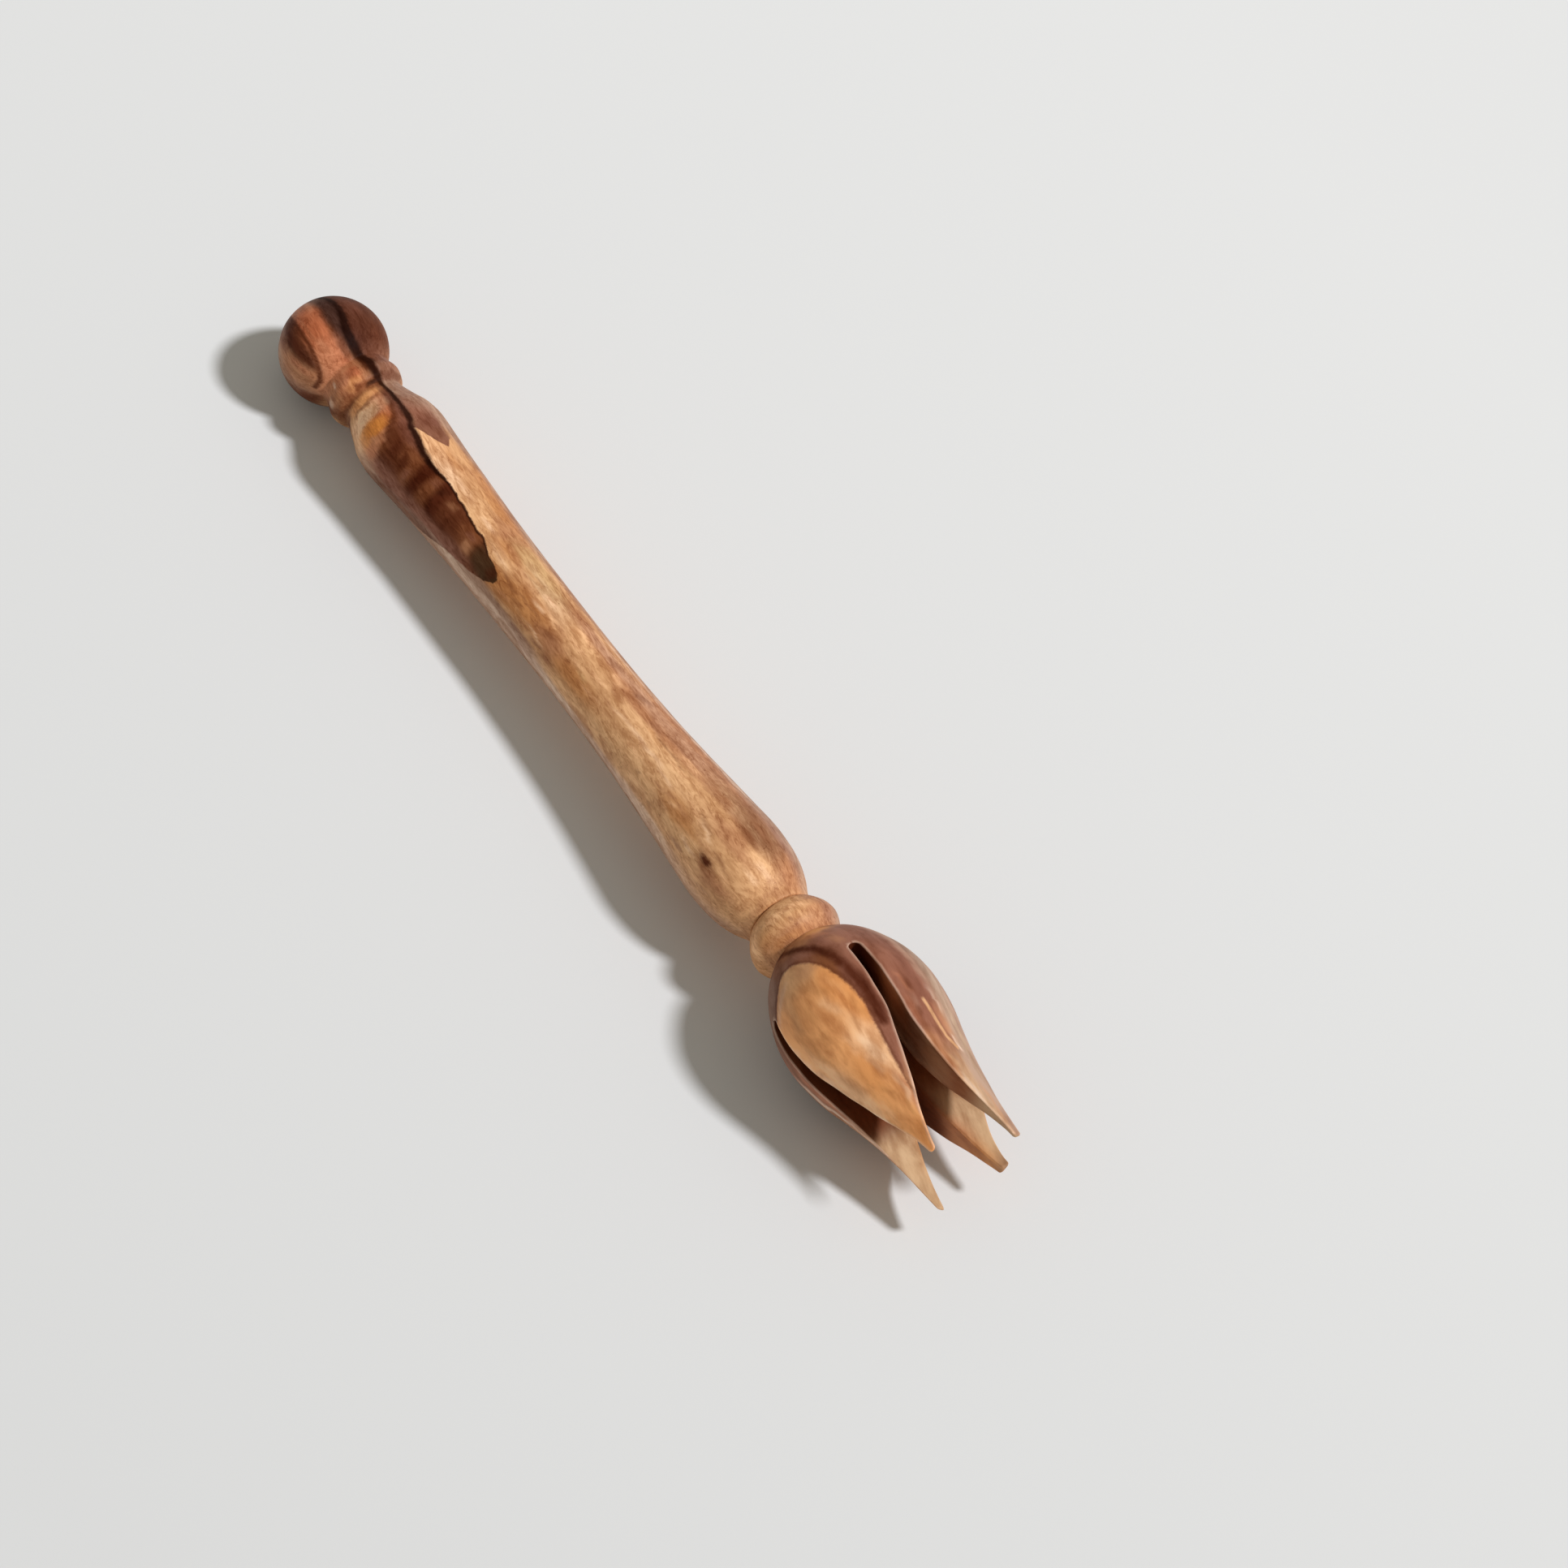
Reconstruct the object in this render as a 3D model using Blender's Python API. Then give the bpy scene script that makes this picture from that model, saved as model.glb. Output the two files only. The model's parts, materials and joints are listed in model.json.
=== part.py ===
"""Drop spindle of turned and carved wood: a ball-ended handle, a collar ring and a slit tulip head.

Metres, +Z up. The spindle lies on the plane z = 0 with its axis along +X (ball at -X, petals at +X).
It rests on its ball and on the lower edges of two petals, so its axis climbs slightly towards +X.
The origin is on that plane, below the middle of the object's box.
"""
import math

import bmesh
import bpy
from mathutils import Matrix, Vector

MM = 0.001

# ---- driving dimensions, millimetres; x runs along the axis from the pole of the ball ----
BALL_RADIUS = 11.1
BALL_CUT_X = 19.5            # where the ball meets the bead ring
SHAFT_END_X = 177.7          # shoulder that carries the collar ring
TENON_RADIUS = 4.5
TENON_END_X = 193.4
TENON_CHAMFER = 0.5
BORE_RADIUS = 4.8            # hole through the ring and socket in the head
RING_START_X = 178.0
RING_END_X = 187.9
HEAD_START_X = 188.2
SOCKET_END_X = 193.7
FLOOR_X = 196.9              # bottom of the tulip's hollow
CUT_DEPTH = 0.8              # how near to the axis the four saw cuts reach
SLOT_ROOT_X = 199.4
SLOT_ROOT_WIDTH = 2.6
SEGMENTS = 40

# turned stations (x, radius): bead ring, upper swell, waist, lower swell
SHAFT_STATIONS = (
    (BALL_CUT_X, 7.25), (21.2, 7.6), (23.1, 8.1), (25.0, 7.65), (26.4, 6.55), (28.2, 6.95),
    (31.0, 7.85), (34.5, 9.05), (38.0, 9.5), (43.5, 9.2), (50.0, 8.8), (57.0, 8.5),
    (68.0, 8.05), (83.0, 7.8), (98.0, 7.7), (112.0, 7.85), (124.0, 8.25), (138.0, 9.1),
    (146.0, 9.75), (153.0, 10.35), (161.0, 10.9), (165.5, 10.7), (169.0, 10.2), (172.6, 9.15),
    (176.0, 7.6), (SHAFT_END_X, 7.1),
)

# rounded rim of the collar ring (x, radius), fuller towards the head
RING_STATIONS = (
    (RING_START_X, 7.2), (178.7, 7.9), (180.2, 8.85), (181.8, 9.55), (183.2, 9.75), (184.6, 9.4),
    (186.2, 8.65), (187.3, 8.2), (RING_END_X, 7.9),
)

# outer line of the tulip (x, radius)
HEAD_STATIONS = (
    (HEAD_START_X, 8.4), (190.6, 10.9), (194.0, 13.3), (197.5, 14.95), (200.2, 15.95),
    (202.6, 16.55), (205.8, 17.0), (208.4, 17.15), (212.0, 16.95), (216.0, 16.4), (222.6, 14.8),
    (228.0, 13.6), (234.0, 12.6), (242.0, 11.8), (252.0, 11.6),
)

# width of a slot against the way from its root (0) to the petal tips (1)
SLOT_WIDTHS = (
    (0.02, 2.6), (0.165, 2.9), (0.36, 3.2), (0.515, 5.2), (0.67, 7.7), (0.80, 10.6), (1.0, 13.9),
)

FRONT_SLOT_WIDTHS = (
    (0.02, 2.6), (0.165, 2.9), (0.31, 3.8), (0.383, 4.4), (0.466, 5.3), (0.55, 6.2), (0.67, 7.9),
    (0.80, 10.6), (1.0, 13.9),
)

# the narrow hollow that clears the crossing of the cuts and opens towards the tips (x, radius)
HOLLOW_STATIONS = (
    (FLOOR_X, 4.0), (222.0, 4.0), (224.5, 4.1), (229.8, 4.9), (233.6, 6.1), (238.0, 7.35),
    (243.0, 8.4), (247.0, 9.0), (252.0, 9.8),
)

# petals, by the angle of their middle from +Z towards +Y: (angle, length to the tip, tip width,
# and how full the gap is cut on its side of smaller and of larger angle)
PETALS = {
    "front_top": (-45.0, 246.4, 1.6, 1.0, 1.0),
    "back_top": (45.0, 252.0, 2.6, 1.0, 1.0),
    "back_low": (135.0, 247.8, 2.9, 1.15, 0.86),
    "front_low": (-135.0, 249.6, 2.0, 1.0, 1.0),
}

# slots: nominal angle, how far the hand-cut root wanders and how soon that fades, petal on each side
SLOTS = {
    "top": (0.0, 10.0, 1.2, "front_top", "back_top"),
    "back": (90.0, 2.0, 1.2, "back_top", "back_low"),
    "low": (180.0, 0.0, 1.2, "back_low", "front_low"),
    "front": (-90.0, 8.0, 0.7, "front_low", "front_top"),
}


def smooth_line(stations):
    """Return a function of x: a cubic through the stations that never overshoots them."""
    xs = [p[0] for p in stations]
    ys = [p[1] for p in stations]
    gaps = [xs[i + 1] - xs[i] for i in range(len(xs) - 1)]
    slopes = [(ys[i + 1] - ys[i]) / gaps[i] for i in range(len(gaps))]
    tangents = [slopes[0]]
    for i in range(1, len(slopes)):
        a, b = slopes[i - 1], slopes[i]
        if a * b <= 0:
            tangents.append(0.0)
            continue
        w1 = 2 * gaps[i] + gaps[i - 1]
        w2 = gaps[i] + 2 * gaps[i - 1]
        tangents.append((w1 + w2) / (w1 / a + w2 / b))
    tangents.append(slopes[-1])

    def value(x):
        x = min(max(x, xs[0]), xs[-1])
        i = 0
        while i < len(gaps) - 1 and x > xs[i + 1]:
            i += 1
        t = (x - xs[i]) / gaps[i]
        h = gaps[i]
        return ((2 * t**3 - 3 * t**2 + 1) * ys[i] + (t**3 - 2 * t**2 + t) * h * tangents[i]
                + (3 * t**2 - 2 * t**3) * ys[i + 1] + (t**3 - t**2) * h * tangents[i + 1])

    return value


def steps(start, end, count):
    return [start + (end - start) * i / count for i in range(count + 1)]


def material(name, colour, roughness):
    mat = bpy.data.materials.new(name)
    mat.use_nodes = True
    shader = mat.node_tree.nodes["Principled BSDF"]
    shader.inputs["Base Color"].default_value = (*colour, 1.0)
    shader.inputs["Roughness"].default_value = roughness
    shader.inputs["Metallic"].default_value = 0.0
    return mat


def new_object(name, bm, mat, parent, origin_x):
    """Make an object whose origin sits on the axis at origin_x; bm is in mm along x."""
    bmesh.ops.recalc_face_normals(bm, faces=bm.faces)
    mesh = bpy.data.meshes.new(name)
    bm.transform(Matrix.Scale(MM, 4) @ Matrix.Translation((-origin_x, 0, 0)))
    bm.to_mesh(mesh)
    bm.free()
    obj = bpy.data.objects.new(name, mesh)
    bpy.context.collection.objects.link(obj)
    if mat:
        mesh.materials.append(mat)
    obj.parent = parent
    return obj


def turned(profile):
    """Spin a profile of (x, radius) about the x axis into a closed solid."""
    bm = bmesh.new()
    verts = [bm.verts.new((x, 0.0, r)) for x, r in profile]
    edges = [bm.edges.new(pair) for pair in zip(verts, verts[1:])]
    if profile[0][1] > 0:
        edges.append(bm.edges.new((verts[-1], verts[0])))
    bmesh.ops.spin(bm, geom=verts + edges, cent=(0, 0, 0), axis=(1, 0, 0), dvec=(0, 0, 0),
                   angle=2 * math.pi, steps=SEGMENTS, use_merge=True, use_duplicate=False)
    bmesh.ops.remove_doubles(bm, verts=bm.verts, dist=0.0001)
    return bm


def handle_profile():
    """Ball, bead, shaft and the tenon that carries the ring and the head."""
    last = math.acos((BALL_RADIUS - BALL_CUT_X) / BALL_RADIUS)
    points = [(BALL_RADIUS * (1 - math.cos(a)), BALL_RADIUS * math.sin(a)) for a in steps(0, last, 14)]
    points[0] = (0.0, 0.0)
    line = smooth_line(SHAFT_STATIONS)
    xs = steps(BALL_CUT_X, 26.4, 8)[1:] + steps(26.4, 34.5, 6)[1:] + steps(34.5, 138.0, 18)[1:]
    xs += steps(138.0, 165.5, 6)[1:] + steps(165.5, SHAFT_END_X, 5)[1:]
    points += [(x, line(x)) for x in xs]
    points += [(SHAFT_END_X, TENON_RADIUS), (TENON_END_X - TENON_CHAMFER, TENON_RADIUS)]
    points += [(TENON_END_X, TENON_RADIUS - TENON_CHAMFER), (TENON_END_X, 0.0)]
    return points


def ring_profile():
    """Rounded rim outside, straight bore inside."""
    line = smooth_line(RING_STATIONS)
    rim = [(x, line(x)) for x in steps(RING_START_X, RING_END_X, 12)]
    return rim + [(RING_END_X, BORE_RADIUS), (RING_START_X, BORE_RADIUS)]


def cup_profile(tip_x):
    """Outer line, then back down the hollow, its floor and the blind socket."""
    line = smooth_line(HEAD_STATIONS)
    xs = [HEAD_START_X, 190.0, 192.0, 194.0, 196.0, 197.5, 199.0, 201.0, 203.0, 205.5, 208.4]
    xs += steps(208.4, 226.0, 6)[1:] + steps(226.0, tip_x, 6)[1:]
    outer = [(x, line(x)) for x in xs]
    bore = smooth_line(HOLLOW_STATIONS)
    inner = [(x, bore(x)) for x in reversed(steps(HOLLOW_STATIONS[1][0], tip_x, 10))]
    floor = [HOLLOW_STATIONS[0], (FLOOR_X, 0.0)]
    socket = [(SOCKET_END_X, 0.0), (SOCKET_END_X, BORE_RADIUS), (HEAD_START_X, BORE_RADIUS)]
    return outer + inner + floor, socket


def tulip_cup(tip_x):
    """The cup is two open turnings that meet at the rim of the socket, merged into one body."""
    outside, socket = cup_profile(tip_x)
    bm = bmesh.new()
    for profile in (outside, socket + [outside[0]]):
        verts = [bm.verts.new((x, 0.0, r)) for x, r in profile]
        edges = [bm.edges.new(pair) for pair in zip(verts, verts[1:])]
        bmesh.ops.spin(bm, geom=verts + edges, cent=(0, 0, 0), axis=(1, 0, 0), dvec=(0, 0, 0),
                       angle=2 * math.pi, steps=SEGMENTS, use_merge=True, use_duplicate=False)
    bmesh.ops.remove_doubles(bm, verts=bm.verts, dist=0.0001)
    return bm


def slot_edge(slot, side):
    """Points (x, distance from the slot's own plane) along one edge, from the rounded root past the tips."""
    nominal, wander, fade, low_petal, high_petal = SLOTS[slot]
    middle, tip_x, tip_width, low_side, high_side = PETALS[high_petal if side > 0 else low_petal]
    fullness = low_side if side > 0 else high_side
    radius = smooth_line(HEAD_STATIONS)
    width = smooth_line(FRONT_SLOT_WIDTHS if slot == "front" else SLOT_WIDTHS)
    span = tip_x - SLOT_ROOT_X
    half_root = SLOT_ROOT_WIDTH / 2
    xs = [SLOT_ROOT_X + half_root * (1 - math.cos(a)) for a in steps(0, math.pi / 2, 4)]
    xs += steps(xs[-1], tip_x, 16)[1:]
    points = []
    for x in xs:
        way = (x - SLOT_ROOT_X) / span
        depth = x - SLOT_ROOT_X
        if depth < half_root:
            half = math.sqrt(half_root**2 - (half_root - depth)**2)
        else:
            half = width(way) / 2
            half += half * (fullness - 1) * min(1.0, 2 * way)
        r = radius(x)
        centre = math.radians(wander) * (1 - way)**fade if way < 1 else 0.0
        angle = math.asin(half / r)
        tip_angle = math.pi / 4 - tip_width / 2 / r
        angle += (tip_angle - angle) * way**8
        points.append((x, r * math.sin(centre + side * angle)))
    points.append((tip_x + 8.0, points[-1][1]))
    return points


def slot_cutter(slot, parent):
    """A saw cut whose sides run straight in towards the axis, from inside the hollow to outside the wood."""
    high = slot_edge(slot, 1)
    low = slot_edge(slot, -1)
    outline = high + list(reversed(low[1:]))
    bm = bmesh.new()
    inner = [bm.verts.new((x, y, CUT_DEPTH)) for x, y in outline]
    outer = [bm.verts.new((x, y, 19.0)) for x, y in outline]
    bm.faces.new(inner)
    bm.faces.new(list(reversed(outer)))
    for i in range(len(outline)):
        j = (i + 1) % len(outline)
        bm.faces.new((inner[j], inner[i], outer[i], outer[j]))
    bm.transform(Matrix.Rotation(-math.radians(SLOTS[slot][0]), 4, "X"))
    return cutter("cut_slot_" + slot, bm, parent)


def tip_cutter(petal, parent):
    """A block that ends one petal square to the axis at its own length."""
    middle, tip_x = PETALS[petal][:2]
    bm = bmesh.new()
    bmesh.ops.create_cube(bm, size=1.0)
    bm.transform(Matrix.Translation((tip_x + 5.0, 0, 12.0)) @ Matrix.Diagonal((10.0, 14.0, 14.0, 1.0)))
    bm.transform(Matrix.Rotation(-math.radians(middle), 4, "X"))
    return cutter("cut_tip_" + petal, bm, parent)


def cutter(name, bm, parent):
    obj = new_object(name, bm, None, parent, HEAD_START_X)
    obj.location = ((HEAD_START_X - SHAFT_END_X) * MM, 0, 0)
    obj.hide_render = True
    obj.display_type = "WIRE"
    return obj


def main():
    for obj in list(bpy.data.objects):
        bpy.data.objects.remove(obj, do_unlink=True)

    handle_wood = material("olive_wood_handle", (0.47, 0.235, 0.102), 0.42)
    ring_wood = material("pale_wood_ring", (0.58, 0.33, 0.15), 0.45)
    head_wood = material("dark_wood_head", (0.37, 0.16, 0.072), 0.44)

    # the handle's own axis, at the ball's centre; the head's seat, on the axis at the shoulder
    axis = bpy.data.objects.new("spindle_axis", None)
    seat = bpy.data.objects.new("head_seat", None)
    for empty in (axis, seat):
        empty.empty_display_size = 0.02
        bpy.context.collection.objects.link(empty)
    seat.parent = axis
    seat.location = ((SHAFT_END_X - BALL_RADIUS) * MM, 0, 0)

    handle = new_object("handle", turned(handle_profile()), handle_wood, axis, BALL_RADIUS)
    ring = new_object("collar_ring", turned(ring_profile()), ring_wood, seat, RING_START_X)
    ring.location = ((RING_START_X - SHAFT_END_X) * MM, 0, 0)

    longest = max(p[1] for p in PETALS.values())
    head = new_object("tulip_head", tulip_cup(longest), head_wood, seat, HEAD_START_X)
    head.location = ((HEAD_START_X - SHAFT_END_X) * MM, 0, 0)
    cutters = [slot_cutter(slot, seat) for slot in SLOTS]
    cutters += [tip_cutter(name, seat) for name, petal in PETALS.items() if petal[1] < longest]
    for tool in cutters:
        cut = head.modifiers.new(tool.name, "BOOLEAN")
        cut.operation = "DIFFERENCE"
        cut.solver = "EXACT"
        cut.object = tool

    for obj in (handle, ring, head):
        obj.data.shade_smooth()
        obj.data.set_sharp_from_angle(angle=math.radians(35))

    # lay it down: the ball and the lower slot's edges at the tulip's widest ring touch z = 0
    widest_x, widest_r = max(HEAD_STATIONS, key=lambda p: p[1])
    half_slot = smooth_line(SLOT_WIDTHS)((widest_x - SLOT_ROOT_X) / (249.0 - SLOT_ROOT_X)) / 2
    contact = math.sqrt(widest_r**2 - half_slot**2)
    climb = math.asin((contact - BALL_RADIUS) / (widest_x - BALL_RADIUS))
    axis.rotation_euler = (0, -climb, 0)
    axis.location = (0, 0, BALL_RADIUS * MM)
    bpy.context.view_layer.update()

    graph = bpy.context.evaluated_depsgraph_get()
    corners = []
    for obj in (handle, ring, head):
        solid = obj.evaluated_get(graph)
        corners += [solid.matrix_world @ v.co for v in solid.data.vertices]
    low = Vector([min(c[i] for c in corners) for i in range(3)])
    high = Vector([max(c[i] for c in corners) for i in range(3)])
    axis.location += Vector((-(low.x + high.x) / 2, 0.0, -low.z))
    bpy.context.view_layer.update()


main()
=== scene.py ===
"""Looks of the turned wooden spindle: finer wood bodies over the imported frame, floor, light and camera.

Each piece is built in the spindle's own axes: x in millimetres along the axis from the pole of the
ball, and an angle round it from straight up towards +Y. place() turns that into the row frame.
"""

import json
import math

import bmesh
import bpy
import numpy as np
from mathutils import Matrix, Vector, noise


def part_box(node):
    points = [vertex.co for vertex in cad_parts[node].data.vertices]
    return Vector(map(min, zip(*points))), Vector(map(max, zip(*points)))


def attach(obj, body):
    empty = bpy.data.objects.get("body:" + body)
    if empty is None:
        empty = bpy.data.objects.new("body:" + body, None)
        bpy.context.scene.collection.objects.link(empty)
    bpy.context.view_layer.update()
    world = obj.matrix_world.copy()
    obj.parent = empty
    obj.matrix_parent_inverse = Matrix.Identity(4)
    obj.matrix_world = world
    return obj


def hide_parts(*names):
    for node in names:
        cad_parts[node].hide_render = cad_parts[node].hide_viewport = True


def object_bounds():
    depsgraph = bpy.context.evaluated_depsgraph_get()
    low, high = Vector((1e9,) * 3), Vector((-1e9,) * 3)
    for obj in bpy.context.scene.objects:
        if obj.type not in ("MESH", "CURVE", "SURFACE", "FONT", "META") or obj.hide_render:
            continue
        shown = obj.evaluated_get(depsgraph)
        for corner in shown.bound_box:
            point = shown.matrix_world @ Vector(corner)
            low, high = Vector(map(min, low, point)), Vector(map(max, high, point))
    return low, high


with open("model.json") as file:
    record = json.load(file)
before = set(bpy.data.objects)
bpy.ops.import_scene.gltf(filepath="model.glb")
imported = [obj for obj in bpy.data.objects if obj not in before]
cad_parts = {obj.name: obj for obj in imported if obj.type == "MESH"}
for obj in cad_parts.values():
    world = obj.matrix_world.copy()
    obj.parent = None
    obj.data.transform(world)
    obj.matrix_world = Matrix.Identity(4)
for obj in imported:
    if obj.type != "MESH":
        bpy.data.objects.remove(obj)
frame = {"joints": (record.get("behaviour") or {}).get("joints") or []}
CAD_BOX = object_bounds()
MM = 0.001

# ---------------------------------------------------------------- the spindle's own axes
BALL_RADIUS = 11.1
AXIS = Vector(frame["joints"][0]["axis"]).normalized()
SIDE = Vector((0, 1, 0))
UP = AXIS.cross(SIDE)
_low, _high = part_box("handle")
BALL = Vector((_low.x, (_low.y + _high.y) / 2, _low.z)) + Vector((1, 0, 1)) * BALL_RADIUS * MM


def place(points):
    """Spindle axes, mm from the ball's pole -> row frame, metres."""
    p = np.asarray(points, float) - np.array([BALL_RADIUS, 0, 0])
    basis = np.array([AXIS[:], SIDE[:], UP[:]])
    return np.array(BALL[:]) + MM * (p @ basis)


# ---------------------------------------------------------------- shape
# The stations of the CAD, but for the faces between ring and head: 0.05 mm apart here, 0.3 mm there.
BALL_CUT_X = 19.5
SHAFT_END_X = 177.7
TENON_RADIUS, TENON_END_X = 4.5, 193.4
BORE_RADIUS = 4.8
RING_START_X, RING_END_X = 178.0, 188.1
HEAD_START_X, SOCKET_END_X = 188.15, 193.7
FLOOR_X = 196.9
SLOT_ROOT_X, SLOT_ROOT_WIDTH = 199.4, 2.6

SHAFT_STATIONS = (
    (19.5, 7.25), (21.2, 7.6), (23.1, 8.1), (25.0, 7.65), (26.4, 6.55), (28.2, 6.95),
    (31.0, 7.85), (34.5, 9.05), (38.0, 9.5), (43.5, 9.2), (50.0, 8.8), (57.0, 8.5),
    (68.0, 8.05), (83.0, 7.8), (98.0, 7.7), (112.0, 7.85), (124.0, 8.25), (138.0, 9.1),
    (146.0, 9.75), (153.0, 10.35), (161.0, 10.9), (165.5, 10.7), (169.0, 10.2), (172.6, 9.15),
    (176.0, 7.6), (177.7, 7.1),
)
RING_STATIONS = (
    (178.0, 7.2), (178.7, 7.9), (180.2, 8.85), (181.8, 9.55), (183.2, 9.75), (184.6, 9.4),
    (186.2, 8.65), (187.3, 8.2), (188.1, 8.0),
)
HEAD_STATIONS = (
    (188.15, 8.3), (190.6, 10.9), (194.0, 13.3), (197.5, 14.95), (200.2, 15.95),
    (202.6, 16.55), (205.8, 17.0), (208.4, 17.15), (212.0, 16.95), (216.0, 16.4), (222.6, 14.8),
    (228.0, 13.6), (234.0, 12.6), (242.0, 11.8), (252.0, 11.6),
)
SLOT_WIDTHS = (
    (0.02, 2.6), (0.165, 2.9), (0.36, 3.2), (0.515, 5.2), (0.67, 7.7), (0.80, 10.6), (1.0, 13.9),
)
FRONT_SLOT_WIDTHS = (
    (0.02, 2.6), (0.165, 2.9), (0.31, 3.8), (0.383, 4.4), (0.466, 5.3), (0.55, 6.2), (0.67, 7.9),
    (0.80, 10.6), (1.0, 13.9),
)
HOLLOW_STATIONS = (
    (FLOOR_X, 4.0), (222.0, 4.0), (224.5, 4.1), (229.8, 4.9), (233.6, 6.1), (238.0, 7.35),
    (243.0, 8.4), (247.0, 9.0), (252.0, 9.8),
)
# petals in order round the axis: angle, tip, tip width, fullness of the gap on either side of it
PETALS = (
    (45.0, 252.0, 2.6, 1.0, 1.0), (135.0, 247.8, 2.9, 1.15, 0.86),
    (225.0, 249.6, 2.0, 1.0, 1.0), (315.0, 246.4, 1.6, 1.0, 1.0),
)
# slots in order: nominal angle, wander of the root, how soon that fades
SLOTS = ((0.0, 10.0, 1.2), (90.0, 2.0, 1.2), (180.0, 0.0, 1.2), (270.0, 8.0, 0.7), (360.0, 10.0, 1.2))
FRONT_SLOT = 3


def smooth_line(stations):
    """A cubic through the stations that never overshoots them, on arrays."""
    xs, ys = (np.array(v, float) for v in zip(*stations))
    gap = np.diff(xs)
    slope = np.diff(ys) / gap
    tangent = np.zeros(len(xs))
    tangent[0], tangent[-1] = slope[0], slope[-1]
    for i in range(1, len(slope)):
        a, b = slope[i - 1], slope[i]
        if a * b > 0:
            w1, w2 = 2 * gap[i] + gap[i - 1], gap[i] + 2 * gap[i - 1]
            tangent[i] = (w1 + w2) / (w1 / a + w2 / b)

    def value(x):
        x = np.clip(np.asarray(x, float), xs[0], xs[-1])
        i = np.clip(np.searchsorted(xs, x, side="right") - 1, 0, len(gap) - 1)
        t, h = (x - xs[i]) / gap[i], gap[i]
        return ((2 * t**3 - 3 * t**2 + 1) * ys[i] + (t**3 - 2 * t**2 + t) * h * tangent[i]
                + (3 * t**2 - 2 * t**3) * ys[i + 1] + (t**3 - t**2) * h * tangent[i + 1])

    return value


SHAFT, RING, HEAD, GAP, FRONT_GAP, HOLLOW = (smooth_line(s) for s in (
    SHAFT_STATIONS, RING_STATIONS, HEAD_STATIONS, SLOT_WIDTHS, FRONT_SLOT_WIDTHS, HOLLOW_STATIONS))


def step(low, high, value):
    """Smooth 0..1 as value goes from low to high."""
    t = np.clip((np.asarray(value, float) - low) / (high - low), 0, 1)
    return t * t * (3 - 2 * t)


def rough(points, scale, seed, octaves=2):
    """Seeded smooth noise, about -1..1, at points in mm; scale is the size of its features along x, y, z."""
    p = np.asarray(points, float) / np.asarray(scale, float)
    shift = Vector((seed, seed * 1.7, -seed))
    return np.array([noise.fractal(Vector(q) + shift, 1.0, 2.0, octaves) for q in p])


def tube_points(x, phi, r):
    """Points of the spindle's own axes from axial place, angle in radians and radius."""
    return np.stack([x + 0 * phi, r * np.sin(phi), r * np.cos(phi)], -1)


def add_object(name, data):
    item = bpy.data.objects.new(name, data)
    bpy.context.scene.collection.objects.link(item)
    return item


def mesh_piece(name, points, faces):
    """An object of these points, put in place, with its spindle coordinates kept for painting the wood."""
    mesh = bpy.data.meshes.new(name)
    mesh.from_pydata(place(points).tolist(), [], faces)
    grain = mesh.attributes.new("grain", "FLOAT_VECTOR", "POINT")
    grain.data.foreach_set("vector", np.asarray(points, np.float32).ravel())
    bm = bmesh.new()
    bm.from_mesh(mesh)
    bmesh.ops.recalc_face_normals(bm, faces=bm.faces)
    bm.to_mesh(mesh)
    bm.free()
    mesh.shade_smooth()
    return add_object(name, mesh)


def strip(a, b):
    """Faces between two closed rows of points; the row of a pole repeats its one point."""
    faces = []
    for j in range(len(a)):
        k = (j + 1) % len(a)
        face = [a[j], a[k], b[k], b[j]]
        faces.append([v for i, v in enumerate(face) if v not in face[:i]])
    return faces


ROUND = 144     # points round a turned piece


def revolve(profile, closed):
    """Turn a profile of (x, radius) rows; radius 0 is a pole, closed joins the last row to the first."""
    phi = np.linspace(0, 2 * math.pi, ROUND, endpoint=False)
    points, rows = [], []
    for x, r in profile:
        ring = [(x, 0.0, 0.0)] if r == 0 else tube_points(x, phi, r).tolist()
        row = list(range(len(points), len(points) + len(ring)))
        rows.append(row * ROUND if r == 0 else row)
        points.extend(ring)
    faces = []
    for a, b in zip(rows, rows[1:] + rows[:1] if closed else rows[1:]):
        faces += strip(a, b)
    return np.array(points), faces


def worn(points, start, end, depth, seed):
    """Lathe and hand-rubbing unevenness: only ever inwards, so it makes no piece bigger."""
    p = np.array(points)
    inside = step(start, start + 2, p[:, 0]) * (1 - step(end - 1, end, p[:, 0]))
    r = np.hypot(p[:, 1], p[:, 2])
    dent = depth * (0.5 + 0.5 * np.clip(rough(p, (16, 7, 7), seed), -1, 1)) * inside * (r > 6.2)
    p[:, 1:] *= np.where(r > 0, (r - dent) / np.maximum(r, 1e-6), 1)[:, None]
    return p


# ---------------------------------------------------------------- handle
BALL_OFFSET, BALL_OFFSET_ANGLE = 0.28, 68     # the ball was turned a little off the shaft's line


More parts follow.
